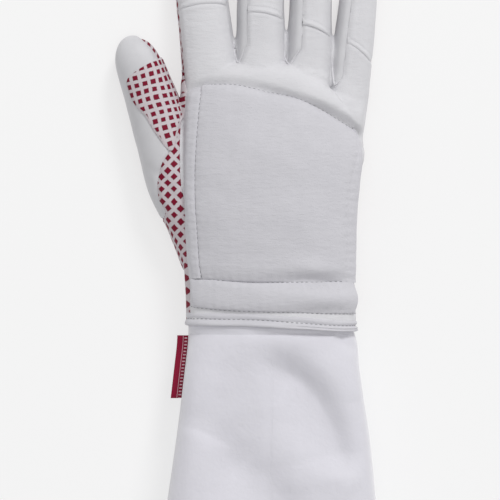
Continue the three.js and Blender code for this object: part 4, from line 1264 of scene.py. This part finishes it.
fine_angles = np.linspace(0, 2 * np.pi, FINE_STEPS)
run_round = walked_along(cuff_skin(np.array(0.5), fine_angles))
even_runs = np.linspace(0, run_round[-1], CUFF_COLUMNS, endpoint=False)
cuff_angles = np.interp(even_runs, run_round, fine_angles)[None, :]
tuck = hand_skin(np.array(TUCK_ROWS)[:, None] / HAND_LENGTH, cuff_angles, -HAND_WALL - TUCK_GAP)
sleeve = cuff_skin(np.linspace(FIRST_ROW, 1, CUFF_ROWS)[:, None], cuff_angles)
cuff_points = np.concatenate([tuck, sleeve])
top_share = np.maximum(signed_power(np.sin(cuff_angles), 2 / HAND_FULLNESS), 0)
cuff_points[..., 2] += cuff_relief(cuff_points) * top_share
arc = np.linalg.norm(np.diff(cuff_points, axis=1, append=cuff_points[:, :1]), axis=-1)
cuff = new_piece("cuff_piece", cuff_points, grid_faces(len(cuff_points), CUFF_COLUMNS, wrap=True)[:, ::-1])
add_places(cuff, np.stack([np.cumsum(arc, axis=1), cuff_points[..., 1]], -1))
dressed(cuff, cloth_finish(), "cuff", CUFF_WALL)

# Wrist hem
# The hand's suede is folded in over the cuff and topstitched, which leaves a rolled edge about a millimetre
# thick that waves slightly.
HEM_COLUMNS = 360
HEM_WAVE = 0.35
HEM_CLEARANCE = 0.05
HEM_GROOVE_DEPTH, HEM_GROOVE_PLACE, HEM_GROOVE_WIDTH = 0.75, 1.3, 0.45
# Columns: distance above the hem's edge and lift off the back, in millimetres, round the folded band.
HEM_PROFILE = np.array([
    (6.6, 0.05), (6.2, 0.5), (5.3, 0.72), (4.3, 0.5), (3.6, 0.1), (3.1, 0.3), (2.5, 1.0), (1.5, 1.6),
    (0.5, 1.6), (-0.1, 1.0), (-0.25, 0.2), (-0.1, -0.5), (0.6, -0.9), (2.5, -0.9), (4.5, -0.6), (6.2, -0.4),
])


def smooth_ring(corners, parts):
    """A closed smooth line through corner points, with that many steps from each corner to the next."""
    before, after, beyond = np.roll(corners, 1, 0), np.roll(corners, -1, 0), np.roll(corners, -2, 0)
    t = np.linspace(0, 1, parts, endpoint=False)[None, :, None]
    a, b, c, d = (part[:, None, :] for part in (before, corners, after, beyond))
    run = 0.5 * (2 * b + (c - a) * t + (2 * a - 5 * b + 4 * c - d) * t**2 + (3 * b - a - 3 * c + d) * t**3)
    return run.reshape(-1, corners.shape[1])


hem_ring = smooth_ring(HEM_PROFILE, 5)
hem_angles = round_steps(HEM_COLUMNS)[:, None]
hem_along = (hem_ring[:, 0] + hem_edge(hand_skin(np.zeros(1), hem_angles)[..., 0])) / HAND_LENGTH
hem_base, hem_raised = off_surface(hand_skin, hem_along, hem_angles)
hem_swell = (0.45 + 0.55 * blend_in(-50, -36, hem_base[..., 0])) * (1 + 0.25 * waves(hem_base, 24, 21))
groove = np.exp(-(((hem_ring[:, 0] - HEM_GROOVE_PLACE) / HEM_GROOVE_WIDTH) ** 2)) * (hem_ring[:, 1] > 0)
doubled = HEM_GROOVE_DEPTH * blend_in(2, 24, hem_base[..., 0]) * groove
hem_lift = np.where(hem_ring[:, 1] > 0, hem_swell, 1) * hem_ring[:, 1] - doubled
hem_points = hem_base + hem_raised * hem_lift[..., None]
hem_points[..., 1] += HEM_WAVE * waves(hem_base * (1, 0, 0), 30, 22)
hem_points[..., 2] = np.maximum(hem_points[..., 2], HEM_CLEARANCE)
hem_faces = grid_faces(*hem_points.shape[:2], wrap=True, ring=True)
wrist_hem = new_piece("wrist_hem_piece", hem_points, hem_faces)
# The hem takes the pads' darker copy of the suede, which paints shade onto it.
dressed(wrist_hem, suede_with_painted_shade, "wrist_hem")

# Knuckle welts
# Each finger's outer cover is tucked and sewn across the finger just past the knuckle, so that the back bends
# there. The tuck stands up as a thin ridge that fades out at both sides.
WELT_WIDTH = 2.6
WELT_HEIGHT = 0.62
# Columns: towards the tip and up, as shares of the welt's width and height, round the ridge.
WELT_PROFILE = np.array([
    (-0.5, 0.0), (-0.42, 0.55), (-0.25, 0.95), (0.0, 1.0), (0.3, 0.6), (0.6, 0.2), (0.85, -0.1),
    (0.6, -0.8), (0.0, -0.9), (-0.4, -0.7),
])


def welt_piece(finger, name):
    """A tuck across one finger, along its crease from the side strip to the far side."""
    middle = FINGERS[finger, CREASE]
    half_width = finger_size(finger, middle)[0]
    left, right = (FINGERS[finger, STRIP] + 0.04) * half_width, 0.93 * half_width
    across = np.linspace(left, right, 70)
    ends = np.clip(np.minimum(across - left, right - across) / 3, 0, 1) ** 0.6
    along = crease_place(finger, across) / (FINGERS[finger, LENGTH] * FINGER_LENGTH)
    here = finger_size(finger, along)[0]
    base, raised = off_surface(finger_skin, finger, along, angle_at(across / here, FINGER_FULLNESS))
    forward = np.append(finger_frame(finger)[1], 0.0)
    ring = smooth_ring(WELT_PROFILE, 2)
    points = base[:, None] + forward * (ring[:, 0] * WELT_WIDTH)[None, :, None]
    lift = ring[:, 1][None, :] * WELT_HEIGHT * ends[:, None]
    points, faces = closed_tube(points + unit(raised)[:, None] * lift[..., None])
    piece = new_piece(f"knuckle_welt_{name}_piece", points, faces)
    dressed(piece, white_suede, f"knuckle_welt_{name}")


for finger, finger_name in enumerate(FINGER_NAMES):
    welt_piece(finger, finger_name)

# Thumb patch
# A patch of the printed grip knit is laid over the thumb's inner side and stitched down, from below the tip
# to the crotch. Its cut edge stands about a millimetre off the leather.
PATCH_THICKNESS = 0.9
PATCH_LOW = 0.4
# Columns: along and across, as shares of the thumb's length and width.
PATCH_EDGE = np.array([
    (0.817, -0.363), (0.843, -0.16), (0.864, 0.183), (0.879, 0.6), (0.664, 0.6), (0.586, 0.34),
    (0.498, 0.127), (0.497, 0.013), (0.544, -0.077), (0.602, -0.16), (0.656, -0.223), (0.701, -0.32),
    (0.755, -0.383),
])


def inside_ring(places, ring):
    """Distance inside a closed plan line, negative outside it."""
    after = np.roll(ring, -1, 0)
    run = after - ring
    distance = from_lines(places, ring, run)[2].min(1)
    rising = (ring[:, 1] <= places[:, 1:2]) != (after[:, 1] <= places[:, 1:2])
    reach = ring[:, 0] + (places[:, 1:2] - ring[:, 1]) / np.where(rising, run[:, 1], 1) * run[:, 0]
    crossings = (rising & (places[:, 0:1] < reach)).sum(1)
    return np.where(crossings % 2 == 1, distance, -distance)


on_thumb = Spot(skin_points)
thumb_places = np.stack([on_thumb.thumb_along * THUMB_LENGTH, on_thumb.thumb_across], -1)
patch_ring = smooth_ring(PATCH_EDGE * (THUMB_LENGTH, THUMB_WIDTH), 6)
patch_edge = np.full(len(skin_points), -50.0)
close = (on_thumb.thumb_along > 0.4) & (np.abs(on_thumb.thumb_across) < THUMB_WIDTH) & (skin_points[:, 2] > 5)
patch_edge[close] = inside_ring(thumb_places[close], patch_ring)
patch_edge = np.minimum(patch_edge, on_thumb.z - PATCH_LOW * THUMB_HEIGHT)
thumb_drop = on_thumb.thumb_height - on_thumb.z
patch_across = thumb_places[:, 1] + down_wall(on_thumb.thumb_turn, thumb_drop)
patch_print = np.stack([patch_across, thumb_places[:, 0]], -1)
(patch_points, _, patch_out, patch_print, patch_inner), patch_faces = cut_along(
    skin_points, skin_triangles, patch_edge, [skin_normals, patch_print, patch_edge[:, None]]
)
patch_points = patch_points + patch_out * PATCH_THICKNESS * (0.45 + 0.55 * blend_in(0, 1.5, patch_inner))
thumb_patch = new_piece("thumb_patch_piece", patch_points, patch_faces)
upper_part = blend_in(0.68 * THUMB_LENGTH, 0.74 * THUMB_LENGTH, patch_print[:, 1:])
add_places(thumb_patch, patch_print, patch_inner + 5 * upper_part)
patch_finish = grip_finish("grip_print_straight", 0, PATCH_PITCH)
dressed(thumb_patch, patch_finish, "thumb_patch", PATCH_THICKNESS)

# Side label
# A crimson ribbon, folded in two and caught in the cuff's side seam just below the hem. It carries plain
# woven stripes.
LABEL_LENGTH = 34
LABEL_REACH = 7.3
LABEL_START = 3
LABEL_LAYER = 0.35
LABEL_ROOT = -1.6
LABEL_GAP = 0.5
BEND_INSET = 0.6
LABEL_DROOP = 0.7
LABEL_ROWS, LABEL_STEPS, BEND_STEPS = 60, 14, 9
STRIPE_MIDDLE, STRIPE_APART = 2.6, 1.5
LABEL_CRIMSON = (0.24, 0.002, 0.028)
LABEL_PALE = (0.62, 0.42, 0.46)


def ribbon_finish():
    """Woven ribbon with a dashed stripe along it between two thin lines."""
    finish = Finish("label_ribbon")
    out, along = finish.parts(finish.places())[:2]
    rib = (along * (2 * np.pi / 0.45)).sine() * 0.5 + 0.5
    aside = (out - STRIPE_MIDDLE).absolute()
    line = (aside - STRIPE_APART).absolute().ramp(0.16, 0.1)
    bar = along * (1 / 1.8)
    dash = (bar - bar.floor() - 0.5).absolute().ramp(0.22, 0.18) * aside.ramp(0.8, 0.72)
    finish.set(Base_Color=finish.mix(line.larger(dash), LABEL_CRIMSON, LABEL_PALE), Roughness=0.6)
    finish.set(Normal=finish.relief(rib, 0.05), Specular_IOR_Level=0.2)
    return finish.material


label_along = np.linspace(LABEL_START, LABEL_START + LABEL_LENGTH, LABEL_ROWS)[:, None]
bend_start = LABEL_REACH - BEND_INSET
flat_out = np.linspace(LABEL_ROOT, bend_start, LABEL_STEPS)[:-1]
flat_up = np.linspace(-LABEL_GAP / 2, -LABEL_GAP, LABEL_STEPS)[:-1]
bend = np.linspace(-np.pi / 2, np.pi / 2, BEND_STEPS)
fold_out = np.concatenate([flat_out, bend_start + LABEL_GAP * np.cos(bend), flat_out[::-1]])
fold_up = np.concatenate([flat_up, LABEL_GAP * np.sin(bend), -flat_up[::-1]])
label_side = cuff_skin(label_along / CUFF_LENGTH, np.pi)
label_droop = LABEL_DROOP * waves(label_side * (0, 1, 0), 40, 31) * np.clip(fold_out / LABEL_REACH, 0, 1)
label_points = label_side - fold_out[..., None] * (1, 0, 0) + (fold_up + label_droop)[..., None] * (0, 0, 1)
side_label = new_piece("side_label_piece", label_points, grid_faces(*label_points.shape[:2])[:, ::-1])
add_places(side_label, np.stack(np.broadcast_arrays(fold_out, label_along), -1))
dressed(side_label, ribbon_finish(), "side_label", LABEL_LAYER, 0)

# Stitching
# Thread runs along the pads, the wrist and the cuff's mouth in straight lockstitch. Its colour is a dark
# grey that paints in the shadow of the stitch holes and grooves, though the thread itself is pale. Each
# stitch is a short capsule, pressed into the surface under it.
STITCH_PITCH = 2.6
STITCH_LENGTH = 1.5
STITCH_RADIUS = 0.26
STITCH_SINK = 0.05
STITCH_SIDES = 6
RAY_START = 9
RAY_LENGTH = 0.02
# Painted shadow: the thread is coloured dark grey for the shade in its holes and grooves.
THREAD_SHADOW_COLOUR = (0.27, 0.27, 0.29)
CAPSULE = np.array([(-0.5, 0.25), (-0.36, 0.8), (0.0, 1.0), (0.36, 0.8), (0.5, 0.25)])


def shadow_thread_finish():
    finish = Finish("thread_painted_shadow")
    finish.set(Base_Color=(*THREAD_SHADOW_COLOUR, 1), Roughness=0.6)
    return finish.material


shown = [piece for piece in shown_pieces() if piece.name.endswith("_piece")]


def surface_tree():
    """All shown skins as one search tree, in metres."""
    points, faces = [], []
    for piece in shown:
        start = len(points)
        points += [vertex.co.copy() for vertex in piece.data.vertices]
        faces += [[v + start for v in face.vertices] for face in piece.data.polygons]
    return BVHTree.FromPolygons(points, faces)


tree = surface_tree()
# The thread's material, dark grey as painted shadow.
thread = shadow_thread_finish()


def stitches(name, slot, path, outward):
    """A row of stitches along a path on the surface, found from outside along the outward directions."""
    walked = walked_along(path)
    at = np.arange(STITCH_PITCH / 2, walked[-1], STITCH_PITCH)
    ends = np.stack([at - STITCH_LENGTH / 2, at, at + STITCH_LENGTH / 2])
    on_path = np.stack([np.interp(ends, walked, path[:, axis]) for axis in range(3)], -1)
    away = unit(np.stack([np.interp(at, walked, outward[:, axis]) for axis in range(3)], -1))
    starts = placed(on_path + away * RAY_START)
    hits = [
        [tree.ray_cast(Vector(start), Vector(-way), RAY_LENGTH)[0] for start, way in zip(row, away)]
        for row in starts
    ]
    good = [i for i in range(len(at)) if all(row[i] is not None for row in hits)]
    spots = np.array([[tuple(row[i]) for i in good] for row in hits]) / MM - HEM_MIDDLE
    along = unit(spots[2] - spots[0])
    side = unit(np.cross(away[good], along))
    up = np.cross(along, side)
    turn = round_steps(STITCH_SIDES)
    ring = CAPSULE[:, 1, None] * STITCH_RADIUS * np.stack([np.cos(turn), np.sin(turn)])[:, None]
    middle = (spots[0] + spots[2]) / 2 * 0.5 + spots[1] * 0.5 - up * STITCH_SINK
    shape = (
        middle[:, None, None]
        + along[:, None, None] * (CAPSULE[:, 0] * STITCH_LENGTH)[None, :, None, None]
        + side[:, None, None] * ring[0][None, ..., None]
        + up[:, None, None] * ring[1][None, ..., None]
    )
    count = len(CAPSULE) * STITCH_SIDES
    first = np.arange(len(good))[:, None, None] * count
    sides = grid_faces(len(CAPSULE), STITCH_SIDES, wrap=True)
    cap = np.arange(STITCH_SIDES)
    caps = np.stack([cap[::-1], count - STITCH_SIDES + cap])
    faces = [face for kind in (sides, caps) for face in (first + kind).reshape(-1, kind.shape[1])]
    dressed(new_piece(name, shape, faces), thread)


def pad_row(name, spec, across, along):
    """Stitches over a pad's grid line, from shares across and along it."""
    stitches(name, "suede", *off_surface(pad_skin, spec, *np.broadcast_arrays(across, along)))


HEM_ROW = 3.5
full_run = np.linspace(0, 1, 80)
pad_row("stitches_pad_left", PADS["pad_main"], 0.0, full_run)
pad_row("stitches_pad_top", PADS["pad_main"], full_run, 1.0)
pad_row("stitches_pad_bottom", PADS["pad_main"], full_run, 0.0)
pad_row("stitches_wrist_upper", PADS["pad_wrist_channel"], full_run, 0.0)
row_angles = np.linspace(0.04 * np.pi, 0.96 * np.pi, 120)
row_along = (HEM_ROW + hem_edge(hand_skin(np.zeros(1), row_angles)[:, 0])) / HAND_LENGTH
stitches("stitches_hem", "suede", *off_surface(hand_skin, row_along, row_angles))
mouth_row = np.linspace(0, 2 * np.pi, 240)
mouth_along = 1 - CUFF_HEM_WIDTH / CUFF_LENGTH
stitches("stitches_cuff_mouth", "cloth", *off_surface(cuff_skin, mouth_along, mouth_row))

# Web lips
# Where two fingers part, the strip's seam is turned over the bottom of the gap and stitched, which leaves a
# thin rolled lip round it.
WEB_LIP_RADIUS = 0.55
WEB_LIP_REACH = 7.0
WEB_LIP_DROP = 4.0
WEB_LIP_STEPS, WEB_LIP_SIDES = 32, 10
ABOVE_ALL = 60.0


def web_lip(finger):
    """A rolled edge down one finger's side, round the bottom of the gap and up the next finger's seam."""
    other = finger + 1
    seam = FINGERS[other, STRIP]
    line = (
        (finger, WEB_LIP_REACH, 0.96),
        (finger, 3.2, 0.98),
        (other, 3.0, (seam - 1) / 2),
        (other, WEB_LIP_REACH, seam - 0.1),
    )
    corners = []
    for member, up, aside in line:
        root, forward, side, _ = finger_frame(member)
        corners.append(root + forward * up + side * finger_size(member, 0.0)[0] * aside)
    corners.insert(2, (corners[1] + corners[2]) / 2 - (0, WEB_LIP_DROP))
    share = np.linspace(0, 1, WEB_LIP_STEPS)
    plan = np.stack([even_curve(row, share) for row in zip(*corners)], -1)
    above = placed(np.concatenate([plan, np.full((WEB_LIP_STEPS, 1), ABOVE_ALL)], axis=1))
    heights = np.array([tree.ray_cast(Vector(spot), Vector((0, 0, -1)), 0.1)[0].z for spot in above]) / MM
    for _ in range(3):
        heights[1:-1] = (heights[:-2] + heights[1:-1] * 2 + heights[2:]) / 4
    path = np.concatenate([plan, heights[:, None]], axis=1)
    tangent = unit(np.gradient(path, axis=0))
    across = unit(np.cross(tangent, (0, 0, 1)))
    upward = np.cross(across, tangent)
    turn = round_steps(WEB_LIP_SIDES)
    taper = WEB_LIP_RADIUS * (0.15 + 0.85 * np.clip(np.minimum(share, 1 - share) / 0.25, 0, 1) ** 0.7)
    ring = across[:, None] * np.cos(turn)[None, :, None] + upward[:, None] * np.sin(turn)[None, :, None]
    points, faces = closed_tube(path[:, None] + ring * taper[:, None, None])
    lip = new_piece(f"web_lip_{FINGER_NAMES[finger]}_{FINGER_NAMES[other]}", points, faces)
    dressed(lip, white_suede)


for finger in range(3):
    web_lip(finger)
